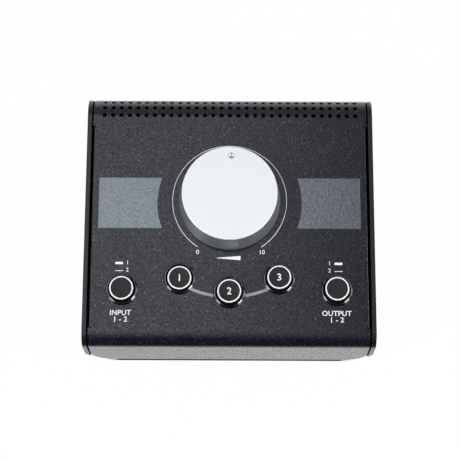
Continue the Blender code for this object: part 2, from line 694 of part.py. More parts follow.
def make_volume_control(panel, knob_axis):
    """The control behind the panel with its bush, washer and nut, and the knob on its shaft."""
    half = POT_WIDTH / 2
    pot_floor = POT_TOP - POT_HEIGHT
    body = block((-half, -half, pot_floor), (half, half, POT_TOP))
    body = join(body, rod(BUSH_RADIUS, POT_TOP - SHEET, BUSH_RISE, ROUND_SIDES))
    body = cut(body, rod(SHAFT_RADIUS + FIT, pot_floor + SHAFT_SEAT, BUSH_RISE + OVERRUN, ROUND_SIDES))
    piece("pot_body", body, "plated_steel", panel)

    washer = ring(BUSH_RADIUS + FIT, WASHER_RADIUS, FIT, FIT + WASHER_THICKNESS, ROUND_SIDES)
    piece("pot_washer", washer, "plated_steel", panel, smooth=True)
    nut_low = FIT + WASHER_THICKNESS + FIT
    nut = prism(hexagon(POT_NUT_FLATS), nut_low, nut_low + POT_NUT_THICKNESS)
    nut = cut(nut, rod(BUSH_RADIUS + FIT, 0, nut_low + POT_NUT_THICKNESS + OVERRUN, ROUND_SIDES))
    piece("pot_nut", nut, "plated_steel", panel)

    cap_floor = KNOB_RISE - KNOB_CAP_THICKNESS
    body_top = cap_floor - FIT
    roof = body_top - KNOB_WALL
    shaft_top = roof - FIT
    hub_floor = BUSH_RISE + FIT
    shaft = rod(SHAFT_RADIUS, pot_floor + SHAFT_SEAT + FIT, shaft_top, ROUND_SIDES)
    flat = block((-SHAFT_RADIUS - OVERRUN, SHAFT_FLAT, hub_floor), (SHAFT_RADIUS + OVERRUN,
                 SHAFT_RADIUS + OVERRUN, shaft_top + OVERRUN))
    piece("pot_shaft", cut(shaft, flat), "plated_steel", knob_axis)

    inner = KNOB_TOP_RADIUS - KNOB_WALL
    base_inner = KNOB_BASE_RADIUS - KNOB_WALL
    shell = turned([(0, hub_floor), (KNOB_HUB_RADIUS, hub_floor), (KNOB_HUB_RADIUS, roof), (inner, roof),
                    (base_inner, KNOB_PANEL_GAP), (KNOB_BASE_RADIUS - KNOB_EDGE, KNOB_PANEL_GAP),
                    (KNOB_BASE_RADIUS, KNOB_PANEL_GAP + KNOB_EDGE), (KNOB_TOP_RADIUS, body_top), (0, body_top)],
                   KNOB_SIDES)
    bore = prism(d_outline(SHAFT_RADIUS + FIT, SHAFT_FLAT + FIT), hub_floor - OVERRUN, roof)
    piece("knob_body", cut(shell, bore), "knob_silver", knob_axis, smooth=True)

    disc = turned([(0, cap_floor), (KNOB_TOP_RADIUS, cap_floor), (KNOB_TOP_RADIUS, KNOB_RISE - KNOB_EDGE),
                   (KNOB_TOP_RADIUS - KNOB_EDGE, KNOB_RISE), (0, KNOB_RISE)], KNOB_SIDES)
    reach = (DIMPLE_RADIUS ** 2 + DIMPLE_DEPTH ** 2) / (2 * DIMPLE_DEPTH)
    ball = bmesh.new()
    centre = Matrix.Translation((0, DIMPLE_REACH, KNOB_RISE + reach - DIMPLE_DEPTH))
    bmesh.ops.create_uvsphere(ball, u_segments=DIMPLE_SIDES, v_segments=DIMPLE_SIDES, radius=reach, matrix=centre)
    piece("knob_cap", cut(disc, mesh_from(ball, "dimple")), "knob_silver", knob_axis, smooth=True)


def make_push_switch(panel, name, x, y, pressed):
    """One push switch: the switch on the board, its plunger, the cap on the plunger and the collar."""
    seat = Matrix.Translation((x, y, 0))
    axis = empty(name + "_axis", Matrix.Translation((x, y, -pressed)), panel)
    top = CAP_RISE
    body = turned([(0, -CAP_SINK), (CAP_RADIUS, -CAP_SINK), (CAP_RADIUS, top - CAP_EDGE),
                   (CAP_RADIUS - CAP_EDGE, top), (0, top)], ROUND_SIDES)
    socket = PLUNGER_WIDTH / 2 + FIT
    grip = -CAP_SINK + PLUNGER_GRIP
    body = cut(body, block((-socket, -socket, -CAP_SINK - OVERRUN), (socket, socket, grip + FIT)))
    piece(name + "_cap", body, "button_black", axis, smooth=True)

    half = PLUNGER_WIDTH / 2
    stem = block((-half, -half, SWITCH_TOP - PLUNGER_SEAT), (half, half, grip))
    piece(name + "_plunger", stem, "plunger_white", axis)

    inner = CAP_RADIUS + COLLAR_CLEARANCE
    sleeve = inner + COLLAR_SLEEVE_WALL
    crest = (inner + COLLAR_RADIUS) / 2
    collar = turned([(inner, -COLLAR_SINK), (sleeve, -COLLAR_SINK), (sleeve, FIT), (COLLAR_RADIUS, FIT),
                     (COLLAR_RADIUS, COLLAR_RISE / 2), (crest, COLLAR_RISE), (inner, COLLAR_RISE / 2)],
                    ROUND_SIDES)
    piece(name + "_collar", collar, "collar_gloss", panel, seat, smooth=True)

    half = SWITCH_WIDTH / 2
    floor = BOARD_TOP + FIT
    body = block((-half, -half, floor), (half, half, SWITCH_TOP))
    well = block((-socket, -socket, floor + SWITCH_FLOOR), (socket, socket, SWITCH_TOP + OVERRUN))
    piece(name + "_switch", cut(body, well), "switch_grey", panel, seat)


def make_jacks():
    """The row of sockets on the rear wall with their nuts, and the board that carries them."""
    wall = JACK_WALL_Y
    half = JACK_BODY_WIDTH / 2
    tall = JACK_BODY_HEIGHT / 2
    inside = -SHEET - FIT
    for number, x in enumerate(jack_places(), 1):
        place = Matrix.Translation((x, wall, JACK_FLOOR_HEIGHT))
        body = block((-half, inside - JACK_BODY_LENGTH, -tall), (half, inside, tall))
        nose = rod(JACK_NOSE_RADIUS, inside - SHEET, JACK_NOSE_REACH, ROUND_SIDES)
        bore = rod(JACK_BORE_RADIUS, inside - JACK_BODY_LENGTH + JACK_END_WALL, JACK_NOSE_REACH + OVERRUN,
                   JACK_BORE_SIDES)
        socket = cut(join(body, along_y(nose, 0, 0, 0)), along_y(bore, 0, 0, 0))
        piece("jack_socket_" + str(number), socket, "jack_plastic", place=place, smooth=True)
        nut = prism(hexagon(JACK_NUT_FLATS), FIT, FIT + JACK_NUT_THICKNESS)
        nut = cut(nut, rod(JACK_NOSE_RADIUS + FIT, -OVERRUN, JACK_NUT_THICKNESS + OVERRUN, ROUND_SIDES))
        piece("jack_nut_" + str(number), along_y(nut, 0, 0, 0), "plated_steel", place=place)


def jack_board_front():
    """World Y of the jack board's front edge."""
    return JACK_BODY_FRONT - JACK_BOARD_APRON


def make_boards(panel):
    """The control board under the panel and the jack board on the tray's studs."""
    half = CONTROL_BOARD_HALF
    board = block((-half, -CONTROL_BOARD_FRONT, BOARD_TOP - BOARD_THICKNESS), (half, CONTROL_BOARD_REAR, BOARD_TOP))
    piece("control_board", board, "board_green", panel)
    half = JACK_BOARD_HALF
    rear = JACK_WALL_Y - SHEET - FIT
    board = block((-half, jack_board_front(), JACK_BOARD_TOP - BOARD_THICKNESS), (half, rear, JACK_BOARD_TOP))
    piece("jack_board", board, "board_green")


def ribbon_points():
    """The middle line of the ribbon in world Y and Z, from the jack board up to the control board."""
    low = Vector((jack_board_front() + RIBBON_BOARD_INSET - PLUG_LENGTH / 2, JACK_BOARD_TOP + FIT + PLUG_HEIGHT / 2))
    rise = CONTROL_BOARD_REAR - RIBBON_BOARD_INSET - PLUG_LENGTH
    high = Vector(panel_point(rise + PLUG_LENGTH / 2, BOARD_TOP - BOARD_THICKNESS - FIT - PLUG_HEIGHT / 2))
    toward = Vector((-COS_SLOPE, -SIN_SLOPE))
    controls = [low, low - Vector((RIBBON_BEND_REACH, 0)), high + RIBBON_BEND_REACH * toward, high]
    return controls


def make_ribbon():
    """The flat cable between the boards with a plug at each end."""
    low, low_pull, high_pull, high = ribbon_points()
    middle = []
    for index in range(RIBBON_STEPS + 1):
        share = index / RIBBON_STEPS
        back = 1 - share
        point = low * back ** 3 + low_pull * (3 * share * back ** 2) + high_pull * (3 * back * share ** 2)
        middle.append(point + high * share ** 3)
    above = []
    below = []
    for index, point in enumerate(middle):
        before = middle[max(index - 1, 0)]
        after = middle[min(index + 1, RIBBON_STEPS)]
        run = (after - before).normalized()
        across = Vector((-run.y, run.x)) * RIBBON_THICKNESS / 2
        above.append(tuple(point + across))
        below.append(tuple(point - across))
    strip = plate([*above, *reversed(below)], RIBBON_X - RIBBON_WIDTH / 2, RIBBON_X + RIBBON_WIDTH / 2)
    half = RIBBON_WIDTH / 2 + PLUG_SIDE
    start = low.x - PLUG_LENGTH / 2
    lower = block((RIBBON_X - half, start, JACK_BOARD_TOP + FIT),
                  (RIBBON_X + half, start + PLUG_LENGTH, JACK_BOARD_TOP + FIT + PLUG_HEIGHT))
    rise = CONTROL_BOARD_REAR - RIBBON_BOARD_INSET - PLUG_LENGTH
    under = BOARD_TOP - BOARD_THICKNESS - FIT
    upper = block((RIBBON_X - half, rise, under - PLUG_HEIGHT), (RIBBON_X + half, rise + PLUG_LENGTH, under))
    piece("ribbon_cable", join(strip, lower, placed(upper, PANEL_MATRIX)), "ribbon_grey")


def build():
    """Make every sub-part of the controller."""
    clear_scene()
    panel = empty("panel_frame", PANEL_MATRIX)
    knob_axis = empty("knob_axis", Matrix.Identity(4), panel)
    make_case(panel)
    make_boards(panel)
    make_volume_control(panel, knob_axis)
    for name, x, y in button_places():
        make_push_switch(panel, name, x, y, LATCH_DEPTH if name == "mono" else 0)
    make_jacks()
    make_ribbon()
    bpy.context.view_layer.update()


build()
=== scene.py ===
"""Looks of a desktop studio monitor controller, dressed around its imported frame.

Lengths are metres in the frame of the CAD model: +Z is up, the front faces -Y and the origin is on the table.
The sloping panel has axes of its own, with the origin on the knob's axis in the panel's face: X runs across,
Y up the slope and Z off the face.
"""
from __future__ import annotations

import logging
import math
from dataclasses import dataclass, field
from enum import Enum
from typing import Sequence

import bmesh
import bpy
from bpy.types import Material, Mesh, Node, NodeSocket, Object
from mathutils import Matrix, Vector


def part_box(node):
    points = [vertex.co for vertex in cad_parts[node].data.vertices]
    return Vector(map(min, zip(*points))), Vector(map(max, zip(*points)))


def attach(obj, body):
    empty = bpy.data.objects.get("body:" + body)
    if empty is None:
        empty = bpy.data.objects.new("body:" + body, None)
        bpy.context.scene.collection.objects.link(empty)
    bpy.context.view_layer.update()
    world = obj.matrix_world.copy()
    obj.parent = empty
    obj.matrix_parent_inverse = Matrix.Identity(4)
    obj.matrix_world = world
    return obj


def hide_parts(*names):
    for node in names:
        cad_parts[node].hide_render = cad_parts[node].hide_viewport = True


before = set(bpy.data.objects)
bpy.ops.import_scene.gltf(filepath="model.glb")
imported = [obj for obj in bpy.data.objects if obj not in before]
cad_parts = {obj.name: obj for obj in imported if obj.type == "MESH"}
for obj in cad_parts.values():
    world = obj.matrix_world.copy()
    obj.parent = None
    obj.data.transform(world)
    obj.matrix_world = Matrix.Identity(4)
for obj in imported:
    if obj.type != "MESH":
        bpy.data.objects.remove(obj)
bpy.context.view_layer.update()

LOG = logging.getLogger("controller")
QUARTER = math.pi / 2
HANDS = {"left": -1, "right": 1}
SHEET_ANGLE = 25.0
DOUBLES_DISTANCE = 1e-7
NOISE_ROUGHNESS = 0.55
CORE_SPAN = (0.2, 0.62, 1.0, 0.0)
PATCH_SPAN = (0.45, 0.8)
FIBRE_SPAN = (0.35, 0.75, 0.2, 1.0)
SCRATCH_SPAN = (0.56, 0.72)
BUTTON_RADIUS = 0.046
BUTTON_TURN = math.radians(31.6)

Point = tuple[float, float]
Place = tuple[float, float, float]
Span = tuple[float, float, float, float]
Colour = tuple[float, float, float]
Line = Sequence[tuple[float, ...]]


class Axis(Enum):
    """The axis along which a flat outline is drawn out, with the turn from X to it."""

    X = Matrix.Identity(4)
    Y = Matrix.Rotation(-QUARTER, 4, "Z")
    Z = Matrix(((0, 1, 0, 0), (0, 0, 1, 0), (1, 0, 0, 0), (0, 0, 0, 1)))


class Weld(Enum):
    """How tool meshes change a mesh."""

    CUT = "DIFFERENCE"
    JOIN = "UNION"
    COMMON = "INTERSECT"

    def apply(self, mesh: Mesh, *tools: Mesh) -> Mesh:
        """Change a mesh by one exact Boolean for each closed tool."""
        settings = {"operation": self.value, "solver": "EXACT"}
        return modified(mesh, *(("BOOLEAN", {**settings, "object": tool}) for tool in tools))


def shift(x: float = 0.0, y: float = 0.0, z: float = 0.0) -> Matrix:
    """Return a move by three lengths."""
    return Matrix.Translation((x, y, z))


def spin(angle: float, axis: str) -> Matrix:
    """Return a turn about an axis."""
    return Matrix.Rotation(angle, 4, axis)


def middle_of(node: str) -> Vector:
    """Return the middle of a CAD node's box."""
    return Vector([(low + high) / 2 for low, high in zip(*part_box(node))])


def tuned(item: object, **settings: object) -> object:
    """Set an item's own settings.

    Args:
        item: what is set.
        settings: its properties by name.

    Returns:
        The same item.
    """
    for name, value in settings.items():
        setattr(item, name, value)
    return item


def placed(name: str, data: bpy.types.ID) -> Object:
    """Put an object in the scene.

    Args:
        name: its name.
        data: its mesh, curve, light or camera.

    Returns:
        The object.
    """
    item = bpy.data.objects.new(name, data)
    bpy.context.scene.collection.objects.link(item)
    return item


def evaluated(item: Object, *helpers: Object) -> Mesh:
    """Turn an object's evaluated shape into a plain mesh.

    Args:
        item: the object; it is removed.
        helpers: objects that its modifiers use; they are removed too.

    Returns:
        The mesh.
    """
    bpy.context.view_layer.update()
    view = bpy.context.evaluated_depsgraph_get()
    mesh = bpy.data.meshes.new_from_object(item.evaluated_get(view))
    for used in (item, *helpers):
        bpy.data.objects.remove(used, do_unlink=True)
    return mesh


def modified(mesh: Mesh, *changes: tuple[str, dict[str, object]]) -> Mesh:
    """Apply modifiers to a mesh.

    Args:
        mesh: the mesh to change.
        changes: type and settings of each modifier; a mesh among the settings is handed over as an object.

    Returns:
        A new mesh with the modifiers applied.
    """
    items = [placed("work", mesh)]
    for kind, settings in changes:
        change = items[0].modifiers.new("change", kind)
        for name, value in settings.items():
            if isinstance(value, Mesh):
                value = placed("tool", value)
                items.append(value)
            if hasattr(change, name):
                setattr(change, name, value)
            else:
                change[name] = value
    return evaluated(*items)


def mesh_of(builder: bmesh.types.BMesh, clean: bool = True) -> Mesh:
    """Turn a bmesh into a mesh and free it.

    Args:
        builder: the bmesh that holds the shape.
        clean: whether its doubles are merged and its faces turned outwards.

    Returns:
        The mesh.
    """
    if clean:
        bmesh.ops.remove_doubles(builder, verts=builder.verts, dist=DOUBLES_DISTANCE)
        bmesh.ops.recalc_face_normals(builder, faces=builder.faces)
    mesh = bpy.data.meshes.new("shape")
    builder.to_mesh(mesh)
    builder.free()
    return mesh


def moved(mesh: Mesh, matrix: Matrix) -> Mesh:
    """Move a mesh by a matrix, and return it."""
    mesh.transform(matrix)
    return mesh


def extruded(outline: Sequence[Point], low: float, high: float, axis: Axis = Axis.X,
             end: Sequence[Point] | None = None) -> Mesh:
    """Draw a closed outline out along an axis.

    Args:
        outline: corners in (Y, Z) for X, in (X, Z) for Y and in (X, Y) for Z.
        low: where the solid starts on the axis.
        high: where it ends.
        axis: the axis to draw along.
        end: the same corners at the high end, where they differ.

    Returns:
        The closed prism.
    """
    if axis is Axis.Y:
        low, high = -high, -low
    builder = bmesh.new()
    near = [builder.verts.new((low, a, b)) for a, b in outline]
    far = [builder.verts.new((high, a, b)) for a, b in end or outline]
    builder.faces.new(near)
    builder.faces.new(list(reversed(far)))
    for index in range(len(outline)):
        after = (index + 1) % len(outline)
        builder.faces.new((near[index], far[index], far[after], near[after]))
    return moved(mesh_of(builder), axis.value)


def box(low: Place, high: Place) -> Mesh:
    """Return a box between two corners."""
    corners = [(low[1], low[2]), (high[1], low[2]), (high[1], high[2]), (low[1], high[2])]
    return extruded(corners, low[0], high[0])


def arc(centre: Point, radius: float, start: float, end: float, steps: int) -> list[Point]:
    """Return the points of an arc, by the angles of its ends from the first axis."""
    turns = [start + (end - start) * step / steps for step in range(steps + 1)]
    return [(centre[0] + radius * math.cos(turn), centre[1] + radius * math.sin(turn)) for turn in turns]


def rounded(points: Line, steps: int = 5) -> list[Point]:
    """Round the corners of a line of points.

    Args:
        points: x and y of each corner, and its rounding radius where it isn't sharp; both ends stay sharp.
        steps: facets on each rounding.

    Returns:
        The line with its roundings.
    """
    line: list[Point] = []
    for index, (x, y, *radius) in enumerate(points):
        if not radius:
            line.append((x, y))
            continue
        here = Vector((x, y))
        back = (Vector(points[index - 1][:2]) - here).normalized()
        ahead = (Vector(points[index + 1][:2]) - here).normalized()
        half = back.angle(ahead) / 2
        start = here + back * radius[0] / math.tan(half)
        middle = here + (back + ahead).normalized() * radius[0] / math.sin(half)
        sweep = math.pi - 2 * half
        if back.x * ahead.y - back.y * ahead.x > 0:
            sweep = -sweep
        for step in range(steps + 1):
            spoke = start - middle
            spoke.rotate(Matrix.Rotation(sweep * step / steps, 2))
            line.append(tuple(middle + spoke))
    return line


def turned(profile: Line, sides: int, steps: int = 5) -> Mesh:
    """Turn a profile of radius and height round Z.

    Args:
        profile: its corners, as for rounded, either closed round a ring or with both ends on the axis.
        sides: number of facets round the axis.
        steps: facets on each rounding.

    Returns:
        The closed turned solid.
    """
    builder = bmesh.new()
    angles = [math.tau * (side + 0.5) / sides for side in range(sides)]
    spokes = [(math.cos(angle), math.sin(angle)) for angle in angles]
    rings = []
    for radius, height in rounded(profile, steps):
        if radius <= 0:
            rings.append([builder.verts.new((0, 0, height))] * sides)
        else:
            rings.append([builder.verts.new((radius * x, radius * y, height)) for x, y in spokes])
    open_ends = profile[0][0] <= 0
    for index in range(len(rings) - 1 if open_ends else len(rings)):
        low = rings[index]
        high = rings[(index + 1) % len(rings)]
        for side in range(sides):
            after = (side + 1) % sides
            corners = list(dict.fromkeys((low[side], low[after], high[after], high[side])))
            if len(corners) > 2:
                builder.faces.new(corners)
    return mesh_of(builder)


def rod(radius: float, low: float, high: float, sides: int = 24) -> Mesh:
    """Return a plain round bar along Z."""
    return turned([(0, low), (radius, low), (radius, high), (0, high)], sides)


def hexagon(flats: float) -> list[Point]:
    """Return a regular hexagon by its width across flats."""
    radius = flats / 2 / math.cos(math.pi / 6)
    return arc((0, 0), radius, math.pi / 6, math.pi / 6 + math.tau, steps=6)[:-1]


def eased(mesh: Mesh, width: float, segments: int = 2, angle: float = 50.0) -> Mesh:
    """Break the edges of a mesh that are sharper than so many degrees with a small bevel."""
    limit = {"limit_method": "ANGLE", "angle_limit": math.radians(angle)}
    return modified(mesh, ("BEVEL", {"width": width, "segments": segments, **limit}))


def lettering(text: str, height: float, weight: float = 0.0, depth: float = 0.00004) -> Mesh:
    """Make centred plain lettering that lies in X and Y.

    Args:
        text: the characters; they are numerals or plain words for inputs and outputs.
        height: height of a capital or numeral.
        weight: how much thicker than the font's own strokes.
        depth: thickness of the ink.

    Returns:
        The lettering as a mesh that starts at height zero.
    """
    capital_share, spacing_share = 0.7, 1.05
    curve = tuned(bpy.data.curves.new("lettering", "FONT"), body=text, size=height / capital_share,
                  align_x="CENTER", extrude=depth / 2, offset=weight, resolution_u=4,
                  space_character=spacing_share)
    mesh = evaluated(placed("lettering", curve))
    rises = [vertex.co.y for vertex in mesh.vertices]
    return moved(mesh, shift(0, -(min(rises) + max(rises)) / 2, depth / 2))


class Wiring:
    """Short ways to add and join the nodes of one tree."""

    def __init__(self, tree: bpy.types.NodeTree) -> None:
        """Keep the tree."""
        self.tree = tree

    def join(self, target: NodeSocket, value: object) -> None:
        """Fill one input of a node.

        Args:
            target: the input.
            value: a socket or a node, whose first output is joined to it, or the input's own value.
        """
        if isinstance(value, Node):
            value = value.outputs[0]
        if isinstance(value, NodeSocket):
            self.tree.links.new(value, target)
        else:
            target.default_value = value

    def feed(self, node: Node, **values: object) -> Node:
        """Set a node.

        Args:
            node: the node.
            values: its own options, in small letters, and then its inputs, which start with a capital;
                underscores stand for spaces.

        Returns:
            The same node.
        """
        for name, value in values.items():
            if name[0].isupper():
                self.join(node.inputs[name.replace("_", " ")], value)
            else:
                setattr(node, name, value)
        return node

    def add(self, kind: str, **values: object) -> Node:
        """Add a node and set it as feed does."""
        return self.feed(self.tree.nodes.new(kind), **values)

    def maths(self, operation: str, *values: NodeSocket | float, clamp: bool = False) -> NodeSocket:
        """Add a Math node.

        Args:
            operation: what it does.
            values: its inputs in order.
            clamp: whether the result is kept from zero to one.

        Returns:
            The result.
        """
        node = self.add("ShaderNodeMath", operation=operation, use_clamp=clamp)
        for socket, value in zip(node.inputs, values):
            self.join(socket, value)
        return node.outputs[0]

    def product(self, first: NodeSocket, *others: NodeSocket | float) -> NodeSocket:
        """Multiply values in turn.

        Args:
            first: the first value.
            others: what it is multiplied by.

        Returns:
            The product.
        """
        for other in others:
            first = self.maths("MULTIPLY", first, other)
        return first

    def parts(self, vector: NodeSocket) -> bpy.types.NodeOutputs:
        """Return the X, Y and Z of a vector."""
        return self.add("ShaderNodeSeparateXYZ", Vector=vector).outputs

    def scaled(self, vector: NodeSocket, factor: NodeSocket | float) -> NodeSocket:
        """Return a vector times a number."""
        return self.add("ShaderNodeVectorMath", operation="SCALE", Vector=vector, Scale=factor).outputs[0]

    def noise(self, vector: NodeSocket, scale: float, detail: float) -> NodeSocket:
        """Return the value of a noise texture on a vector."""
        node = self.add("ShaderNodeTexNoise", Vector=vector, Scale=scale, Detail=detail,
                        Roughness=NOISE_ROUGHNESS)
        return node.outputs["Fac"]

    def span(self, value: NodeSocket, low: float, high: float, to_low: float = 0.0,
             to_high: float = 1.0) -> NodeSocket:
        """Map a value from one span to another and clamp it."""
        ends = {"From_Min": low, "From_Max": high, "To_Min": to_low, "To_Max": to_high}
        return self.add("ShaderNodeMapRange", Value=value, **ends).outputs["Result"]

    def blend(self, factor: NodeSocket, first: object, second: object) -> NodeSocket:
        """Mix two colours.

        Args:
            factor: the share of the second.
            first: a colour or a socket.
            second: a colour or a socket.

        Returns:
            The mixed colour.
        """
        node = self.add("ShaderNodeMix", data_type="RGBA")
        for socket, value in zip((node.inputs[0], *node.inputs[6:8]), (factor, first, second)):
            self.join(socket, (*value, 1.0) if isinstance(value, tuple) else value)
        return node.outputs[2]

    def choose(self, factor: NodeSocket, first: Node, second: Node) -> Node:
        """Mix two shaders.

        Args:
            factor: the share of the second.
            first: a shader node.
            second: a shader node.

        Returns:
            The node that mixes them.
        """
        node = self.add("ShaderNodeMixShader")
        for socket, value in zip(node.inputs, (factor, first, second)):
            self.join(socket, value)
        return node


class RollRepeat(Wiring):
    """A tree that copies a stamp to a grid wrapped round a roll, or laid flat where the roll is vast."""

    INPUTS = {"Columns": "Int", "Rows": "Int", "Column Pitch": "Float", "Row Pitch": "Float",
              "Roll Radius": "Float", "Finish": "Material"}

    def __init__(self) -> None:
        """Build the tree with its named inputs."""
        super().__init__(bpy.data.node_groups.new("roll_repeat", "GeometryNodeTree"))
        face = self.tree.interface
        face.new_socket(name="Stamp", in_out="INPUT", socket_type="NodeSocketGeometry")
        self.inputs = [face.new_socket(name=name, in_out="INPUT", socket_type="NodeSocket" + kind).identifier
                       for name, kind in self.INPUTS.items()]
        face.new_socket(name="Copies", in_out="OUTPUT", socket_type="NodeSocketGeometry")
        taken = self.add("NodeGroupInput").outputs
        columns = taken["Columns"]
        radius = taken["Roll Radius"]
        index = self.add("GeometryNodeInputIndex").outputs["Index"]
        row = self.maths("FLOOR", self.maths("DIVIDE", index, columns))
        middle = self.maths("DIVIDE", self.maths("SUBTRACT", columns, 1.0), 2.0)
        column = self.maths("SUBTRACT", self.maths("FLOORED_MODULO", index, columns), middle)
        turn = self.maths("DIVIDE", self.maths("MULTIPLY", row, taken["Row Pitch"]), radius)
        drop = self.maths("SUBTRACT", self.maths("COSINE", turn), 1.0)
        place = self.add("ShaderNodeCombineXYZ", X=self.product(column, taken["Column Pitch"]),
                         Y=self.product(self.maths("SINE", turn), radius), Z=self.product(drop, radius))
        tilt = self.add("ShaderNodeCombineXYZ", X=self.maths("MULTIPLY", turn, -1.0))
        rotation = self.add("FunctionNodeEulerToRotation", Euler=tilt)
        points = self.add("GeometryNodePoints", Count=self.product(columns, taken["Rows"]), Position=place)
        copies = self.add("GeometryNodeInstanceOnPoints", Points=points, Instance=taken["Stamp"],
                          Rotation=rotation)
        real = self.add("GeometryNodeRealizeInstances", Geometry=copies)
        dressed = self.add("GeometryNodeSetMaterial", Geometry=real, Material=taken["Finish"])
        self.add("NodeGroupOutput", Copies=dressed)

    def repeat(self, stamp: Mesh, columns: int, rows: int, pitch: Point, radius: float = 1000.0,
               finish: Material | None = None) -> Mesh:
        """Copy a stamp over the grid.

        Args:
            stamp: what is repeated, its Z off the surface.
            columns: copies across, centred on X.
            rows: copies along +Y from the first.
            pitch: distance between columns and between rows.
            radius: radius of the roll whose axis is below the first row.
            finish: material of the copies.

        Returns:
            All copies as one plain mesh.
        """
        values = dict(zip(self.inputs, (columns, rows, *pitch, radius)))
        if finish:
            values[self.inputs[-1]] = finish
        return modified(stamp, ("NODES", {"node_group": self.tree, **values}))


class EffectGroup(Wiring):
    """A shader node group with named inputs and outputs that several materials share."""

    def __init__(self, name: str, inputs: dict[str, float], outputs: Sequence[str]) -> None:
        """Open the group, make its sockets and measure its vector in the size that it takes.

        Args:
            name: name of the group.
            inputs: name and usual value of each number that it takes besides its Vector, the size first.
            outputs: names of the numbers that it gives.
        """
        super().__init__(bpy.data.node_groups.new(name, "ShaderNodeTree"))
        face = self.tree.interface
        face.new_socket(name="Vector", in_out="INPUT", socket_type="NodeSocketVector")
        for label, value in inputs.items():
            face.new_socket(name=label, in_out="INPUT", socket_type="NodeSocketFloat").default_value = value
        for label in outputs:
            face.new_socket(name=label, in_out="OUTPUT", socket_type="NodeSocketFloat")
        self.taken = self.add("NodeGroupInput").outputs
        self.target = self.add("NodeGroupOutput")
        size = self.taken[next(iter(inputs))]
        self.vector = self.scaled(self.taken["Vector"], self.maths("DIVIDE", 1.0, size))


def powder_group() -> None:
    """Build the grain of a powder coat.

    It takes the grain's size in metres and the share of bright specks, and gives a mask of the specks, a
    level that differs from grain to grain, a slow mottle and the height of the orange peel.
    """
    group = EffectGroup("powder_grain", {"Grain Size": 0.0004, "Speck Share": 0.1},
                        ("Speck", "Grain", "Mottle", "Height"))
    cells = group.add("ShaderNodeTexVoronoi", Vector=group.vector, Scale=1.0, Randomness=1.0)
    levels = group.add("ShaderNodeSeparateColor", Color=cells.outputs["Color"]).outputs
    limit = group.maths("SUBTRACT", 1.0, group.taken["Speck Share"])
    chosen = group.maths("GREATER_THAN", levels[0], limit)
    core = group.span(cells.outputs["Distance"], *CORE_SPAN)
    group.feed(group.target, Speck=group.product(chosen, core, levels[1]), Grain=levels[2],
               Mottle=group.noise(group.vector, scale=0.55, detail=3.0),
               Height=group.noise(group.vector, scale=0.8, detail=4.0))


def dust_group() -> None:
    """Build a thin uneven film of dust and handling.

    It takes the size of its patches in metres and an amount, and gives a mask that is mostly near zero.
    """
    group = EffectGroup("dust_film", {"Patch Size": 0.02, "Amount": 0.5}, ("Film",))
    patches = group.span(group.noise(group.vector, scale=1.0, detail=5.0), *PATCH_SPAN)
    fibres = group.span(group.noise(group.vector, scale=30.0, detail=3.0), *FIBRE_SPAN)
    film = group.maths("MULTIPLY", group.product(patches, fibres), group.taken["Amount"], clamp=True)
    group.feed(group.target, Film=film)


def wear_group() -> None:
    """Build the fine rubbing of a plated or painted part.

    It takes the size of its scratches in metres and how much they are drawn out along X, and gives a mask of
    them and a height.
    """
    group = EffectGroup("fine_wear", {"Scratch Size": 0.003, "Stretch": 8.0}, ("Scratch", "Height"))
    x, y, z = group.parts(group.vector)
    stretch = group.taken["Stretch"]
    drawn = group.add("ShaderNodeCombineXYZ", X=x, Y=group.product(y, stretch), Z=group.product(z, stretch))
    lines = group.noise(drawn, scale=1.0, detail=4.0)
    group.feed(group.target, Scratch=group.span(lines, *SCRATCH_SPAN), Height=lines)


class Surface(Wiring):
    """The wiring of one material, with its shader and its object coordinates."""

    def __init__(self, name: str) -> None:
        """Open the material.

        Args:
            name: its name.
        """
        self.material = tuned(bpy.data.materials.new(name), use_nodes=True)
        super().__init__(self.material.node_tree)
        self.shader = self.tree.nodes["Principled BSDF"]
        self.vector = self.add("ShaderNodeTexCoord").outputs["Object"]

    def effect(self, name: str, **values: float) -> bpy.types.NodeOutputs:
        """Place a shared effect with this material's values and return its outputs."""
        tree = bpy.data.node_groups[name]
        return self.add("ShaderNodeGroup", node_tree=tree, Vector=self.vector, **values).outputs


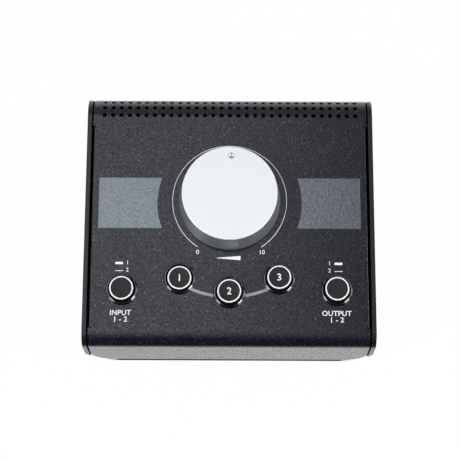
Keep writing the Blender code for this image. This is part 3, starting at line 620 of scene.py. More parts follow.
@dataclass(frozen=True)
class Finish:
    """A finish with a plain colour, a soft mottle and a fine bump, and the start of every other finish."""

    name: str
    colour: Colour
    second: Colour
    roughness: float = 0.5
    metallic: float = 0.0
    specular: float = 0.5
    coat: float = 0.0
    coat_roughness: float = 0.1
    coat_ior: float = 1.5
    tint: Colour = (1.0, 1.0, 1.0)
    grain: float = 0.0004
    bump: float = 0.00001
    mottle: Point = (0.35, 0.65)
    gloss: Point = (0.3, 0.7)
    reach: float = 0.05
    dust: float = 0.15
    dust_patch: float = 0.018
    dust_colour: Colour = (0.32, 0.31, 0.3)
    dust_roughness: float = 0.3

    def material(self) -> Material:
        """Make the finish's material, once.

        Returns:
            The material.
        """
        if self.name in bpy.data.materials:
            return bpy.data.materials[self.name]
        surface = Surface(self.name)
        surface.feed(surface.shader, Metallic=self.metallic, Specular_IOR_Level=self.specular,
                     Specular_Tint=(*self.tint, 1.0), Coat_Weight=self.coat,
                     Coat_Roughness=self.coat_roughness, Coat_IOR=self.coat_ior)
        self.dress(surface)
        return tuned(surface.material, diffuse_color=(*self.colour, 1.0))

    def lay(self, surface: Surface, colour: NodeSocket, gloss: NodeSocket, height: NodeSocket) -> None:
        """Lay a dust film over a colour, let it and a slow pattern change the roughness, and add the relief.

        Args:
            surface: the material's wiring.
            colour: the surface's colour so far.
            gloss: a value from zero to one that changes the roughness by the finish's reach.
            height: the relief's height field.
        """
        film = surface.effect("dust_film", Patch_Size=self.dust_patch, Amount=self.dust)["Film"]
        rough = surface.span(gloss, *self.gloss, self.roughness - self.reach, self.roughness + self.reach)
        rough = surface.maths("ADD", rough, surface.product(film, self.dust_roughness), clamp=True)
        bump = surface.add("ShaderNodeBump", Strength=1.0, Distance=self.bump, Height=height)
        dusty = surface.blend(film, colour, self.dust_colour)
        surface.feed(surface.shader, Base_Color=dusty, Roughness=rough, Normal=bump)

    def dress(self, surface: Surface) -> None:
        """Wire two tones by a fine mottle, with orange peel.

        Args:
            surface: the material's wiring.
        """
        powder = surface.effect("powder_grain", Grain_Size=self.grain, Speck_Share=0.0)
        tone = surface.span(powder["Mottle"], *self.mottle)
        self.lay(surface, surface.blend(tone, self.colour, self.second), powder["Mottle"], powder["Height"])


@dataclass(frozen=True)
class PowderCoat(Finish):
    """Powder coat with fine bright flakes, a few larger glints and, where it has a lacquer, pits in that."""

    mottle: Point = (0.3, 0.7)
    flake: Colour = (0.2, 0.2, 0.23)
    glint: Colour = (0.4, 0.4, 0.44)
    share: float = 0.14
    glint_shares: Point = (2.1, 0.13)
    flake_metal: float = 2.0
    pitting: float = 0.4
    pit_size_share: float = 2.0
    pit_shares: Point = (0.9, 0.3)
    pit_span: Point = (0.0, 0.65)

    def dress(self, surface: Surface) -> None:
        """Wire mottle, flakes, glints, a lacquer that differs by grain, and orange peel.

        Args:
            surface: the material's wiring.
        """
        size, share = self.glint_shares
        powder = surface.effect("powder_grain", Grain_Size=self.grain, Speck_Share=self.share)
        coarse = surface.effect("powder_grain", Grain_Size=self.grain * size, Speck_Share=self.share * share)
        colour = surface.blend(surface.span(powder["Mottle"], *self.mottle), self.colour, self.second)
        colour = surface.blend(powder["Speck"], colour, self.flake)
        colour = surface.blend(coarse["Speck"], colour, self.glint)
        flakes = surface.maths("MAXIMUM", powder["Speck"], coarse["Speck"])
        surface.feed(surface.shader, Metallic=surface.maths("MULTIPLY", flakes, self.flake_metal, clamp=True))
        if self.coat > 0:
            size = self.grain * self.pit_size_share
            pitted = surface.effect("powder_grain", Grain_Size=size, Speck_Share=0.0)["Grain"]
            least = self.coat * (1 - self.pit_shares[0] * self.pitting)
            most = min(1.0, self.coat * (1 + self.pit_shares[1] * self.pitting))
            surface.feed(surface.shader, Coat_Weight=surface.span(pitted, *self.pit_span, least, most))
        self.lay(surface, colour, powder["Mottle"], powder["Height"])


@dataclass(frozen=True)
class SilverInk(Finish):
    """Grey ink with metal flake, printed over the grain of a powder coat."""

    reach: float = 0.08
    fine_share: float = 0.45
    pits: Point = (0.16, 0.34)

    def dress(self, surface: Surface) -> None:
        """Wire the coat's grain as light and dark pits.

        Args:
            surface: the material's wiring.
        """
        coarse = surface.effect("powder_grain", Grain_Size=self.grain, Speck_Share=0.0)
        fine = surface.effect("powder_grain", Grain_Size=self.grain * self.fine_share, Speck_Share=0.0)
        pits = surface.span(surface.product(coarse["Height"], fine["Mottle"]), *self.pits)
        self.lay(surface, surface.blend(pits, self.colour, self.second), fine["Mottle"], coarse["Height"])


@dataclass(frozen=True)
class BrushedMetal(Finish):
    """Metal or silver paint with faint drawn lines."""

    reach: float = 0.06
    scratch: float = 0.004
    stretch: float = 10.0

    def dress(self, surface: Surface) -> None:
        """Wire faint lines in colour, roughness and height.

        Args:
            surface: the material's wiring.
        """
        wear = surface.effect("fine_wear", Scratch_Size=self.scratch, Stretch=self.stretch)
        colour = surface.blend(wear["Scratch"], self.colour, self.second)
        self.lay(surface, colour, wear["Height"], wear["Height"])


@dataclass(frozen=True)
class CircuitBoard(Finish):
    """Solder mask with copper tracks that show through it."""

    track: float = 0.0012

    def dress(self, surface: Surface) -> None:
        """Wire stepped tracks, pads and a faint weave.

        Args:
            surface: the material's wiring.
        """
        black, white = (0, 0, 0, 1), (1, 1, 1, 1)
        bricks = surface.add("ShaderNodeTexBrick", offset=0.37, squash=1.6, Scale=0.22, Mortar_Size=0.03,
                             Vector=surface.scaled(surface.vector, 1.0 / self.track), Mortar_Smooth=0.1,
                             Color1=black, Color2=black, Mortar=white).outputs["Color"]
        weave = surface.noise(surface.vector, scale=1800.0, detail=2.0)
        self.lay(surface, surface.blend(bricks, self.colour, self.second), weave, bricks)


class Look:
    """The finishes of this controller."""

    COVER = PowderCoat("cover_powder_coat", (0.003, 0.0025, 0.0075), (0.0045, 0.004, 0.0105),
                       roughness=0.21, coat=0.82, specular=0.35, coat_roughness=0.05, coat_ior=1.6,
                       grain=0.00026, bump=0.000003, share=0.3, flake=(0.24, 0.232, 0.29),
                       glint=(0.42, 0.41, 0.47), pitting=0.85, dust=0.006, tint=(0.9, 0.88, 1.0))
    TRAY = PowderCoat("tray_powder_coat", (0.018, 0.018, 0.02), (0.026, 0.026, 0.028), bump=0.000014,
                      share=0.06, dust=0.08)
    CHEEK = PowderCoat("cheek_powder_coat", (0.007, 0.007, 0.0078), (0.01, 0.01, 0.0108), roughness=0.28,
                       coat=0.5, coat_roughness=0.06, grain=0.0003, bump=0.000003, share=0.08,
                       flake=(0.08, 0.08, 0.09), glint=(0.16, 0.16, 0.18), dust=0.01)
    KNOB_SIDE = BrushedMetal("knob_side_silver", (0.38, 0.4, 0.42), (0.43, 0.447, 0.468), roughness=0.33,
                             metallic=0.75, scratch=0.006, bump=0.000002, dust=0.01,
                             tint=(0.35, 0.35, 0.36))
    KNOB_FACE = BrushedMetal("knob_face_silver", (0.866, 0.876, 0.886), (0.88, 0.889, 0.898),
                             roughness=0.42, metallic=0.12, scratch=0.009, bump=0.0000004, dust=0.004)
    POINTER = BrushedMetal("pointer_bright_cut", (0.72, 0.73, 0.75), (0.78, 0.79, 0.81), roughness=0.3,
                           metallic=0.75, scratch=0.002, bump=0.0000004, dust=0.004)
    CAP = Finish("button_cap_black", (0.010, 0.010, 0.012), (0.014, 0.014, 0.016), roughness=0.36,
                 grain=0.00025, bump=0.000004, dust=0.02)
    COLLAR = Finish("collar_gloss_black", (0.002, 0.002, 0.0022), (0.003, 0.003, 0.0032), roughness=0.1,
                    specular=0.9, coat=0.6, coat_roughness=0.08, coat_ior=1.7, grain=0.0006, bump=0.0000005,
                    dust=0.0)
    WHITE_INK = Finish("white_ink", (0.93, 0.93, 0.94), (0.88, 0.88, 0.89), grain=0.0003, bump=0.000004,
                       dust=0.05)
    PALE_INK = SilverInk("pale_link_ink", (0.42, 0.45, 0.5), (0.56, 0.6, 0.64), roughness=0.36,
                         metallic=0.8, grain=0.0005, dust=0.02)
    SLATE_INK = SilverInk("slate_ink", (0.234, 0.26, 0.288), (0.366, 0.4, 0.428), roughness=0.15,
                          metallic=0.97, grain=0.0009, bump=0.00005, dust=0.01)
    SCREW = BrushedMetal("screw_black_oxide", (0.035, 0.035, 0.037), (0.07, 0.07, 0.072), roughness=0.36,
                         metallic=0.8, scratch=0.001, bump=0.000002)
    NICKEL = BrushedMetal("nickel_plate", (0.62, 0.61, 0.59), (0.7, 0.69, 0.67), roughness=0.24,
                          metallic=1.0, scratch=0.0012, bump=0.000002)
    STEEL = BrushedMetal("zinc_plated_steel", (0.5, 0.5, 0.51), (0.6, 0.6, 0.61), roughness=0.34,
                         metallic=1.0, scratch=0.0016, bump=0.000003)
    JACK = Finish("jack_nylon", (0.014, 0.014, 0.015), (0.02, 0.02, 0.021), roughness=0.44, grain=0.0005,
                  bump=0.000006, dust=0.1)
    CONTACT = BrushedMetal("contact_spring", (0.7, 0.66, 0.56), (0.78, 0.74, 0.63), roughness=0.25,
                           metallic=1.0, scratch=0.0015, bump=0.000002)
    # Near-black matte of the cheeks' lips: painted shade in the gaps between the cheeks and the cover.
    PRIMER = Finish("lip_primer", (0.002, 0.002, 0.0022), (0.003, 0.003, 0.0033), roughness=0.8,
                    specular=0.1, bump=0.000006, dust=0.0)
    RUBBER = Finish("foot_rubber", (0.016, 0.016, 0.016), (0.026, 0.026, 0.026), roughness=0.82,
                    specular=0.3, grain=0.0005, bump=0.00003, dust=0.3)
    BOARD = CircuitBoard("board_solder_mask", (0.012, 0.09, 0.035), (0.03, 0.17, 0.07), roughness=0.35,
                         bump=0.00003)
    SOLDER = BrushedMetal("solder", (0.6, 0.6, 0.6), (0.72, 0.72, 0.71), roughness=0.3, metallic=1.0,
                          scratch=0.0008, bump=0.000004)
    CHIP = Finish("component_epoxy", (0.02, 0.02, 0.021), (0.03, 0.03, 0.031), roughness=0.55, grain=0.0003,
                  bump=0.000006)
    RIBBON = BrushedMetal("ribbon_vinyl", (0.4, 0.4, 0.42), (0.48, 0.48, 0.5), scratch=0.006, bump=0.000004)
    PLUNGER = Finish("plunger_nylon", (0.7, 0.69, 0.64), (0.76, 0.75, 0.7), roughness=0.45, grain=0.0006,
                     bump=0.000005)
    SWITCH = Finish("switch_body_plastic", (0.07, 0.07, 0.076), (0.09, 0.09, 0.096), bump=0.000006)


@dataclass(frozen=True)
class CaseFrame:
    """The case's main sizes and the lines and planes that the pieces stand on."""

    width: float = 0.142
    slope: float = math.radians(12.0)
    knob_floor_height: float = 0.0513
    front_run: float = 0.06436
    rear_run: float = 0.0438
    front_radius: float = 0.0075
    solid_bend: Point = (0.0668, 0.005)
    rear_radius: float = 0.011
    lean: float = math.radians(7.0)
    sheet: float = 0.0012
    fit: float = 0.0003
    cheek: float = 0.0021
    slot: float = 0.0015
    screw_hole: float = 0.0017
    jack_reach: float = 0.0036
    steps: int = 20

    @property
    def half(self) -> float:
        """Half of the case's width."""
        return self.width / 2

    @property
    def cheek_inner(self) -> float:
        """X of the cheeks' inner faces."""
        return self.half - self.cheek

    @property
    def front_face(self) -> float:
        """How far the solids' front bend stands from the knob's axis, in world Y; it centres the box."""
        run, radius = self.solid_bend
        return -run * math.cos(self.slope) + radius * (math.sin(self.slope) - 1)

    @property
    def rear_face(self) -> float:
        """How far the cover's rear face stands from the knob's axis, in world Y."""
        bend = self.rear_radius * math.sin(self.slope) + self.rear_radius
        return self.rear_run * math.cos(self.slope) + bend

    @property
    def wall_face(self) -> float:
        """How far the tray's rear face stands from the knob's axis, in world Y."""
        return self.rear_face - self.sheet - self.fit

    @property
    def knob_y(self) -> float:
        """World Y of the knob's axis in the panel's face; the box is centred on the origin."""
        return -(self.front_face + self.wall_face + self.jack_reach) / 2

    @property
    def wall_y(self) -> float:
        """World Y of the rear wall's outer face."""
        return self.knob_y + self.wall_face

    @property
    def rear_y(self) -> float:
        """World Y of the cover's rear face."""
        return self.knob_y + self.rear_face

    @property
    def panel(self) -> Matrix:
        """From the panel's axes to the world."""
        return shift(0, self.knob_y, self.knob_floor_height) @ spin(self.slope, "X")

    @property
    def rear(self) -> Matrix:
        """From axes that face the rear wall to the world: X to the viewer's right, Y up, Z to the viewer."""
        return shift(0, self.wall_y, 0) @ Matrix(((-1, 0, 0, 0), (0, 0, 1, 0), (0, 1, 0, 0), (0, 0, 0, 1)))

    @property
    def roll(self) -> Point:
        """World Y and Z of the rear roll's axis."""
        return self.point(self.rear_run, -self.rear_radius)

    def at(self, x: float, y: float, z: float = 0.0) -> Matrix:
        """Return the place of a point of the panel, with the panel's axes."""
        return self.panel @ shift(x, y, z)

    def point(self, rise: float, out: float) -> Point:
        """Return world Y and Z of a point of the panel's middle line."""
        place = self.panel @ Vector((0, rise, out))
        return place.y, place.z

    def on_rear(self, x: float, height: float) -> Matrix:
        """Return the place of a point of the rear wall by its world X and height, with Z out of the wall."""
        return self.rear @ shift(-x, height)

    def on_cheek(self, node: str, x: float) -> Matrix:
        """Return the place of a cheek's screw at a world X, with Z out of the case."""
        middle = middle_of(node)
        return shift(x, middle.y, middle.z) @ spin(math.copysign(QUARTER, x), "Y")

    def outline(self, inset: float) -> list[Point]:
        """Draw the case's line over the rear roll, the panel and the front bend.

        Args:
            inset: how far it is moved inwards.

        Returns:
            Its points in world Y and Z.
        """
        quarter = QUARTER + self.slope
        rear = arc(self.roll, self.rear_radius - inset, 0, quarter, self.steps * 2)
        front = self.point(-self.front_run, -self.front_radius)
        return rear + arc(front, self.front_radius - inset, quarter, math.pi + self.lean, self.steps)

    def apron(self, height: float, inset: float) -> float:
        """Find the apron's face.

        Args:
            height: world Z of the point.
            inset: how far the face is moved inwards.

        Returns:
            World Y of the face at that height.
        """
        y, z = self.point(-self.front_run, -self.front_radius)
        turn = math.pi + self.lean
        return y + (self.front_radius - inset - (height - z) * math.sin(turn)) / math.cos(turn)

    def toe(self, floor: float, radius: float, inset: float) -> list[Point]:
        """Return the rounding between the apron's slope, moved inwards, and a level floor."""
        centre = (self.apron(floor + radius, inset + radius), floor + radius)
        return arc(centre, radius, math.pi + self.lean, 3 * QUARTER, self.steps)


@dataclass
class Workshop:
    """Puts finished pieces in the scene and reports them."""

    case: CaseFrame = field(default_factory=CaseFrame)
    repeats: RollRepeat = field(default_factory=RollRepeat)
    count: int = 0

    def add(self, name: str, mesh: Mesh, finish: Finish, slot: str, body: str = "case",
            replaces: Sequence[str] = (), smooth: float = 30.0) -> None:
        """Place one piece on its body, its large flat faces keeping their own normals beside their roundings.

        Args:
            name: the piece's name.
            mesh: its mesh, already in world places.
            finish: its finish.
            slot: the record's slot that the finish belongs to; it is not used.
            body: the body that carries it.
            replaces: CAD nodes that it stands for.
            smooth: edges sharper than this many degrees stay sharp.
        """
        self.paint(mesh, finish)
        mesh.shade_smooth()
        mesh.set_sharp_from_angle(angle=math.radians(smooth))
        mesh = modified(mesh, ("WEIGHTED_NORMAL", {"keep_sharp": True, "weight": 80}))
        mesh.name = name
        piece = placed(name, mesh)
        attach(piece, body)
        if replaces:
            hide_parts(*replaces)
        LOG.info("%s: %d faces on %s", name, len(mesh.polygons), body)

    def paint(self, mesh: Mesh, finish: Finish) -> None:
        """Give a mesh its finish as its only one.

        Args:
            mesh: the mesh.
            finish: the finish.
        """
        mesh.materials.clear()
        mesh.materials.append(finish.material())
        self.count += 1

    def refinish(self, finish: Finish, *nodes: str) -> None:
        """Give carried-over CAD nodes their finish.

        Args:
            finish: the finish.
            nodes: names of the nodes.
        """
        for node in nodes:
            self.paint(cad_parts[node].data, finish)
            LOG.info("%s: refinished as %s", node, finish.name)


@dataclass
class Assembly:
    """A sub-assembly of the controller, with what all of them share."""

    shop: Workshop
    over: float = 0.002

    @property
    def case(self) -> CaseFrame:
        """The case's sizes and planes."""
        return self.shop.case


class Button(Enum):
    """The push switches by their place on the panel."""

    SOURCE_SELECT = (-0.052, -0.0447)
    MONO = (-BUTTON_RADIUS * math.sin(BUTTON_TURN), -BUTTON_RADIUS * math.cos(BUTTON_TURN))
    MUTE = (0.0, -BUTTON_RADIUS)
    DIM = (BUTTON_RADIUS * math.sin(BUTTON_TURN), -BUTTON_RADIUS * math.cos(BUTTON_TURN))
    MONITOR_SELECT = (0.052, -0.0447)


@dataclass
class CoverShell(Assembly):
    """The bent sheet with the apron, the panel, its side flanges and the perforated rear roll."""

    end_gap: float = 0.0009
    slot_front: float = 0.0634
    slot_rear: float = 0.0382
    relief: float = 0.0006
    flange_drop: float = 0.008
    flange_bend: float = 0.0003
    rear_overlap: float = 0.009
    apron_lift: float = 0.0052
    apron_corner: float = 0.012
    hem: Point = (0.002, 0.0005)
    notch: Place = (0.0565, 0.0026, 0.0009)
    vents: tuple[int, int] = (31, 3)
    vent_pitch: Point = (0.00417, 0.0044)
    vent_start: float = 0.0002
    vent_radius: float = 0.0011
    vent_edge: float = 0.00015
    vent_flare: float = 0.0018
    screw_x: float = 0.058
    stud: Place = (0.061, 0.0022, 0.0116)
    stud_rows: Point = (-0.029, 0.025)
    bush_hole: float = 0.0047
    button_hole: float = 0.00705

    def build(self) -> Mesh:
        """Fold the sheet, slot it, bend its long edges down and cut its holes.

        Returns:
            The cover in world places.
        """
        case = self.case
        half = case.cheek_inner - self.end_gap
        low = case.roll[1] - self.rear_overlap
        lift = self.apron_lift
        run, corner = self.hem
        hem = rounded([(case.apron(lift + run, 0), lift + run), (case.apron(lift, 0), lift, corner),
                       (case.apron(lift, case.sheet), lift)], steps=8)
        sheet = extruded([(case.rear_y, low), *case.outline(0), *hem[1:], *reversed(case.outline(case.sheet)),
                          (case.rear_y - case.sheet, low)], -half, half)
        flange = case.cheek_inner - case.slot
        slots = []
        edges = []
        for side in HANDS.values():
            near, far = sorted((side * (flange - case.sheet), side * (half + self.over)))
            slot = box((near, -self.slot_front, -case.sheet - self.over), (far, self.slot_rear, self.over))
            slots.append(moved(slot, case.panel))
            edges.append(self._flange(side, flange))
            for row in self.stud_rows:
                stud = rod(self.stud[1], -self.stud[2] + case.fit, -case.sheet / 2, sides=20)
                edges.append(moved(stud, case.at(side * self.stud[0], row)))
        sheet = Weld.JOIN.apply(Weld.CUT.apply(sheet, *slots), *edges)
        return Weld.CUT.apply(sheet, self._vents(), *self._holes(), *self._apron_tools(half))

    def _flange(self, side: int, face: float) -> Mesh:
        """Bend one long edge of the panel down along its slot.

        Args:
            side: -1 for the left, 1 for the right.
            face: distance of its outer face from the middle.

        Returns:
            The flange in world places.
        """
        sheet = self.case.sheet
        bend = self.flange_bend
        wall = face - sheet
        line = [(wall - self.over, 0.0), *arc((face - bend, -bend), bend, QUARTER, 0, steps=8),
                (face, -self.flange_drop), (wall, -self.flange_drop), (wall, -sheet),
                (wall - self.over, -sheet)]
        ends = (self.relief - self.slot_front, self.slot_rear - self.relief)
        return moved(extruded([(side * x, z) for x, z in line], *ends, Axis.Y), self.case.panel)

    def _vents(self) -> Mesh:
        """Set a bar square to the rear roll for each vent hole, wider below the hole's thin outer edge.

        Returns:
            All bars in world places.
        """
        case = self.case
        radius = case.rear_radius
        low, high = -case.sheet - self.over / 2, self.over / 2
        bar = turned([(0, low), (self.vent_flare, low), (self.vent_flare, -self.vent_edge),
                      (self.vent_radius, -self.vent_edge), (self.vent_radius, high), (0, high)], sides=20)
        bars = self.shop.repeats.repeat(bar, *self.vents, self.vent_pitch, radius)
        start = case.at(0, case.rear_run, -radius) @ spin(-self.vent_start / radius, "X")
        return moved(bars, start @ shift(z=radius))

    def _holes(self) -> list[Mesh]:
        """Make the cutters for the bush, the buttons and the rear screws.

        Returns:
            The cutters in world places.
        """
        case = self.case
        low = -case.sheet - self.over
        places = [case.at(*button.value) for button in Button]
        tools = [moved(rod(self.bush_hole, low, self.over, sides=48), case.panel)]
        tools += [moved(rod(self.button_hole, low, self.over, sides=48), place) for place in places]
        for side in HANDS.values():
            place = case.on_rear(-side * self.screw_x, case.roll[1] - self.rear_overlap / 2)
            tools.append(moved(rod(case.screw_hole, -self.over, 2 * self.over), place))
        return tools

    def _apron_tools(self, half: float) -> list[Mesh]:
        """Make the cutters for the apron's rounded corners and its two notches.

        Args:
            half: half of the cover's width.

        Returns:
            The cutters in world places.
        """
        case = self.case
        lift = self.apron_lift
        corner = self.apron_corner
        front = case.knob_y + case.front_face - self.over
        back = case.apron(lift, case.sheet) + self.over
        x, width, height = self.notch
        tools = []
        for side in HANDS.values():
            line = [*arc((half - corner, lift + corner), corner, 0, -QUARTER, steps=16),
                    (half - corner, lift - self.over), (half + self.over, lift - self.over),
                    (half + self.over, lift + corner)]
            tools.append(extruded([(side * across, rise) for across, rise in line], front, back, Axis.Y))
            tools.append(box((side * x - width / 2, front, 0), (side * x + width / 2, back, lift + height)))
        return tools

    def dress(self) -> None:
        """Build the cover and place it."""
        self.shop.add("cover_shell", self.build(), Look.COVER, "cover_paint", replaces=("top_cover",),
                      smooth=SHEET_ANGLE)


@dataclass
class ChassisTray(Assembly):
    """The lower sheet: front lip, base, low sides and the rear wall with its socket holes."""

    foot_height: float = 0.0035
    side_height: float = 0.014
    lip_height: float = 0.012
    top_drop: float = 0.002
    bend: float = 0.006
    rear_bend: float = 0.0018
    stud: Place = (0.060, 0.0022, 0.0158)
    stud_inset: float = 0.004
    jack_hole: float = 0.005

    def _toe(self, depth: float, height: float) -> list[Point]:
        """Draw the line from the sheet's edge in front to its base.

        Args:
            depth: depth of the line in the sheet.
            height: where it starts.

        Returns:
            Its points in world Y and Z.
        """
        inset = self.case.sheet + self.case.fit + depth
        return [(self.case.apron(height, inset), height),
                *self.case.toe(self.foot_height + depth, self.bend - depth, inset)]

    def build(self) -> Mesh:
        """Bend the sheet, close its sides, set the studs and cut the holes.

        Returns:
            The tray in world places.
        """
        case = self.case
        base = self.foot_height
        lip = base + self.lip_height
        rear = case.wall_y
        top = case.roll[1] - self.top_drop
        half = case.cheek_inner - case.fit
        turn = self.rear_bend
        pivot = (rear - turn, base + turn)
        outline = [*self._toe(0, lip), *arc(pivot, turn, -QUARTER, 0, steps=8), (rear, top),
                   (rear - case.sheet, top), *arc(pivot, turn - case.sheet, 0, -QUARTER, steps=8),
                   *reversed(self._toe(case.sheet, lip))]
        tray = extruded(outline, -half, half)
        middle = case.sheet / 2
        side_top = base + self.side_height
        wing = [*self._toe(middle, side_top), (rear - middle, base + turn), (rear - middle, side_top)]
        parts = [extruded(wing, half - case.sheet, half), extruded(wing, -half, -half + case.sheet)]
        x, radius, height = self.stud
        rows = (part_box("jack_board")[0].y + self.stud_inset, rear - case.sheet - self.stud_inset)
        for side in HANDS.values():
            parts += [moved(rod(radius, base + middle, height, sides=20), shift(side * x, y)) for y in rows]
        return Weld.CUT.apply(Weld.JOIN.apply(tray, *parts), *self._holes(half))

    def _holes(self, half: float) -> list[Mesh]:
        """Make the cutters for the sockets and the screws.

        Args:
            half: half of the tray's width.

        Returns:
            The cutters in world places.
        """
        case = self.case
        tools = [moved(rod(self.jack_hole, -2 * self.over, self.over, sides=48), place)
                 for place in RearJacks(self.shop).places()]
        for hand, side in HANDS.items():
            middle = middle_of("cover_screw_" + hand)
            places = [case.on_cheek(f"cheek_screw_{row}_{hand}", side * half) for row in ("front", "rear")]
            for place in (*places, case.on_rear(middle.x, middle.z)):
                tools.append(moved(rod(case.screw_hole, -2 * self.over, self.over), place))
        return tools

    def dress(self) -> None:
        """Build the tray and place it."""
        self.shop.add("lower_tray", self.build(), Look.TRAY, "tray_paint", replaces=("chassis_tray",),
                      smooth=SHEET_ANGLE)


@dataclass
class Fasteners(Assembly):
    """Screws with hexagon sockets, and the four rubber feet."""

    shank: float = 0.0014
    length: float = 0.0058
    socket: float = 0.0019
    socket_depth: float = 0.0008
    sunk_head: Point = (0.0027, 0.0014)
    sunk_rim: float = 0.0003
    pan_head: Point = (0.0026, 0.0016)
    tip: float = 0.0003
    crown: float = 0.0008
    foot_line: Line = ((0, 0.0007), (0.002, 0.0007, 0.0003), (0.0026, 0, 0.0002), (0.0049, 0, 0.0006),
                       (0.0055, 0.0032, 0.0003), (0, 0.0032))
    edge: float = 0.0001

    def _screw(self, head: Line, face: float, steps: int) -> Mesh:
        """Turn a screw and sink the hexagon socket in its head.

        Args:
            head: profile of its head above the shank.
            face: height of the head's face.
            steps: facets on each rounding.

        Returns:
            The screw along Z.
        """
        blank = turned([(0, -self.length), (self.shank, -self.length, self.tip), *head, (0, face)],
                       sides=36, steps=steps)
        tool = extruded(hexagon(self.socket), face - self.socket_depth, face + self.over, Axis.Z)
        return Weld.CUT.apply(blank, tool)

    def countersunk(self) -> Mesh:
        """Turn a flat-headed screw.

        Returns:
            The screw with its face at height zero.
        """
        (radius, depth), edge = self.sunk_head, self.edge
        head = [(self.shank, -depth, 2 * edge), (radius, -self.sunk_rim, edge), (radius, 0, edge)]
        return self._screw(head, face=0, steps=3)

    def pan(self) -> Mesh:
        """Turn a round-headed screw.

        Returns:
            The screw with the underside of its head at height zero.
        """
        (radius, height), edge = self.pan_head, self.edge
        head = [(self.shank, 0, edge), (radius, 0, edge), (radius, height, self.crown)]
        return self._screw(head, face=height, steps=6)

    def dress(self) -> None:
        """Place the screws and feet where their CAD nodes are."""
        case = self.case
        for hand, side in HANDS.items():
            for row in ("front", "rear"):
                node = f"cheek_screw_{row}_{hand}"
                mesh = moved(self.countersunk(), case.on_cheek(node, side * case.half))
                self.shop.add(f"side_screw_{row}_{hand}", mesh, Look.SCREW, "screw_black", replaces=(node,))
                node = f"foot_{row}_{hand}"
                middle = middle_of(node)
                mesh = moved(turned(self.foot_line, sides=56), shift(middle.x, middle.y))
                self.shop.add(f"rubber_foot_{row}_{hand}", mesh, Look.RUBBER, "foot_rubber", replaces=(node,))
            node = "cover_screw_" + hand
            middle = middle_of(node)
            place = shift(middle.x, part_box(node)[0].y + self.length, middle.z) @ spin(-QUARTER, "X")
            mesh = moved(self.pan(), place)
            self.shop.add("rear_screw_" + hand, mesh, Look.SCREW, "screw_black", replaces=(node,))


@dataclass
class SideCheeks(Assembly):
    """The two end plates with eased edges, and near-black lips in their gaps to the cover as painted shade.
    """

    lift: float = 0.0033
    front_radius: float = 0.0115
    outer_radius: float = 0.017
    rear_radius: float = 0.003
    ease: float = 0.0002
    deep_reach: float = 0.0016
    shallow_reach: float = 0.0006
    lip_drop: float = 0.0005
    lip_depth: float = 0.001
    lip_run: float = 0.0052
    lip_root_share: float = 0.25

    def build(self, side: int) -> Mesh:
        """Round and ease one plate and sink its screw seats.

        Args:
            side: -1 for the left, 1 for the right.

        Returns:
            The cheek in world places.
        """
        case = self.case
        bend = self.rear_radius
        corner = arc((case.rear_y - bend, self.lift + bend), bend, -QUARTER, 0, steps=10)
        top = [*corner, *case.outline(0)[1:]]
        inner = top + case.toe(self.lift, self.front_radius, 0)[1:]
        outer = top + case.toe(self.lift, self.outer_radius, 0)[1:]
        near, far = (outer, inner) if side < 0 else (inner, outer)
        low, high = sorted((side * case.cheek_inner, side * case.half))
        plate = eased(extruded(near, low, high, end=far), self.ease, segments=3, angle=60.0)
        radius, depth = Fasteners(self.shop).sunk_head
        hole, head, under = case.screw_hole, radius + case.fit, -case.cheek - self.over
        seat = [(0, under), (hole, under), (hole, -depth - case.fit), (head, 0), (head, self.over),
                (0, self.over)]
        hand = "left" if side < 0 else "right"
        places = [case.on_cheek(f"cheek_screw_{row}_{hand}", side * case.half) for row in ("front", "rear")]
        return Weld.CUT.apply(plate, *(moved(turned(seat, sides=40), place) for place in places))

    def lip_strip(self, side: int) -> Mesh:
        """Step a near-black lip on a cheek's inner face, painted shade in the gap to the cover along the rear
        roll.

        Args:
            side: -1 for the left, 1 for the right.

        Returns:
            The lip in world places.
        """
        under = self.case.sheet + self.case.fit
        deep = self._lip_band(side, self.deep_reach, under, under + self.lip_depth)
        shallow = self._lip_band(side, self.shallow_reach, self.lip_drop, under + self.lip_depth / 2)
        return Weld.JOIN.apply(deep, shallow)

    def _lip_band(self, side: int, reach: float, top: float, floor: float) -> Mesh:
        """Make one step of a lip.

        Args:
            side: -1 for the left, 1 for the right.
            reach: how far it stands off the cheek.
            top: depth of its upper face under the case's line.
            floor: depth of its lower face.

        Returns:
            The step in world places.
        """
        case = self.case
        quarter = QUARTER + case.slope
        run = case.rear_run - self.lip_run
        outline = [*arc(case.roll, case.rear_radius - top, 0, quarter, steps=24), case.point(run, -top),
                   case.point(run, -floor), *arc(case.roll, case.rear_radius - floor, quarter, 0, steps=24)]
        root, tip = case.cheek_inner + case.cheek * self.lip_root_share, case.cheek_inner - reach
        return extruded(outline, *sorted((side * root, side * tip)))

    def dress(self) -> None:
        """Build both cheeks and place them."""
        for hand, side in HANDS.items():
            self.shop.add("cheek_plate_" + hand, self.build(side), Look.CHEEK, "cheek_paint",
                          replaces=("side_cheek_" + hand,), smooth=SHEET_ANGLE)
            # Each lip is a near-black sheet in the gap to the cover: painted shade.
            self.shop.add("cheek_lip_" + hand, self.lip_strip(side), Look.PRIMER, "cheek_paint",
                          smooth=SHEET_ANGLE)


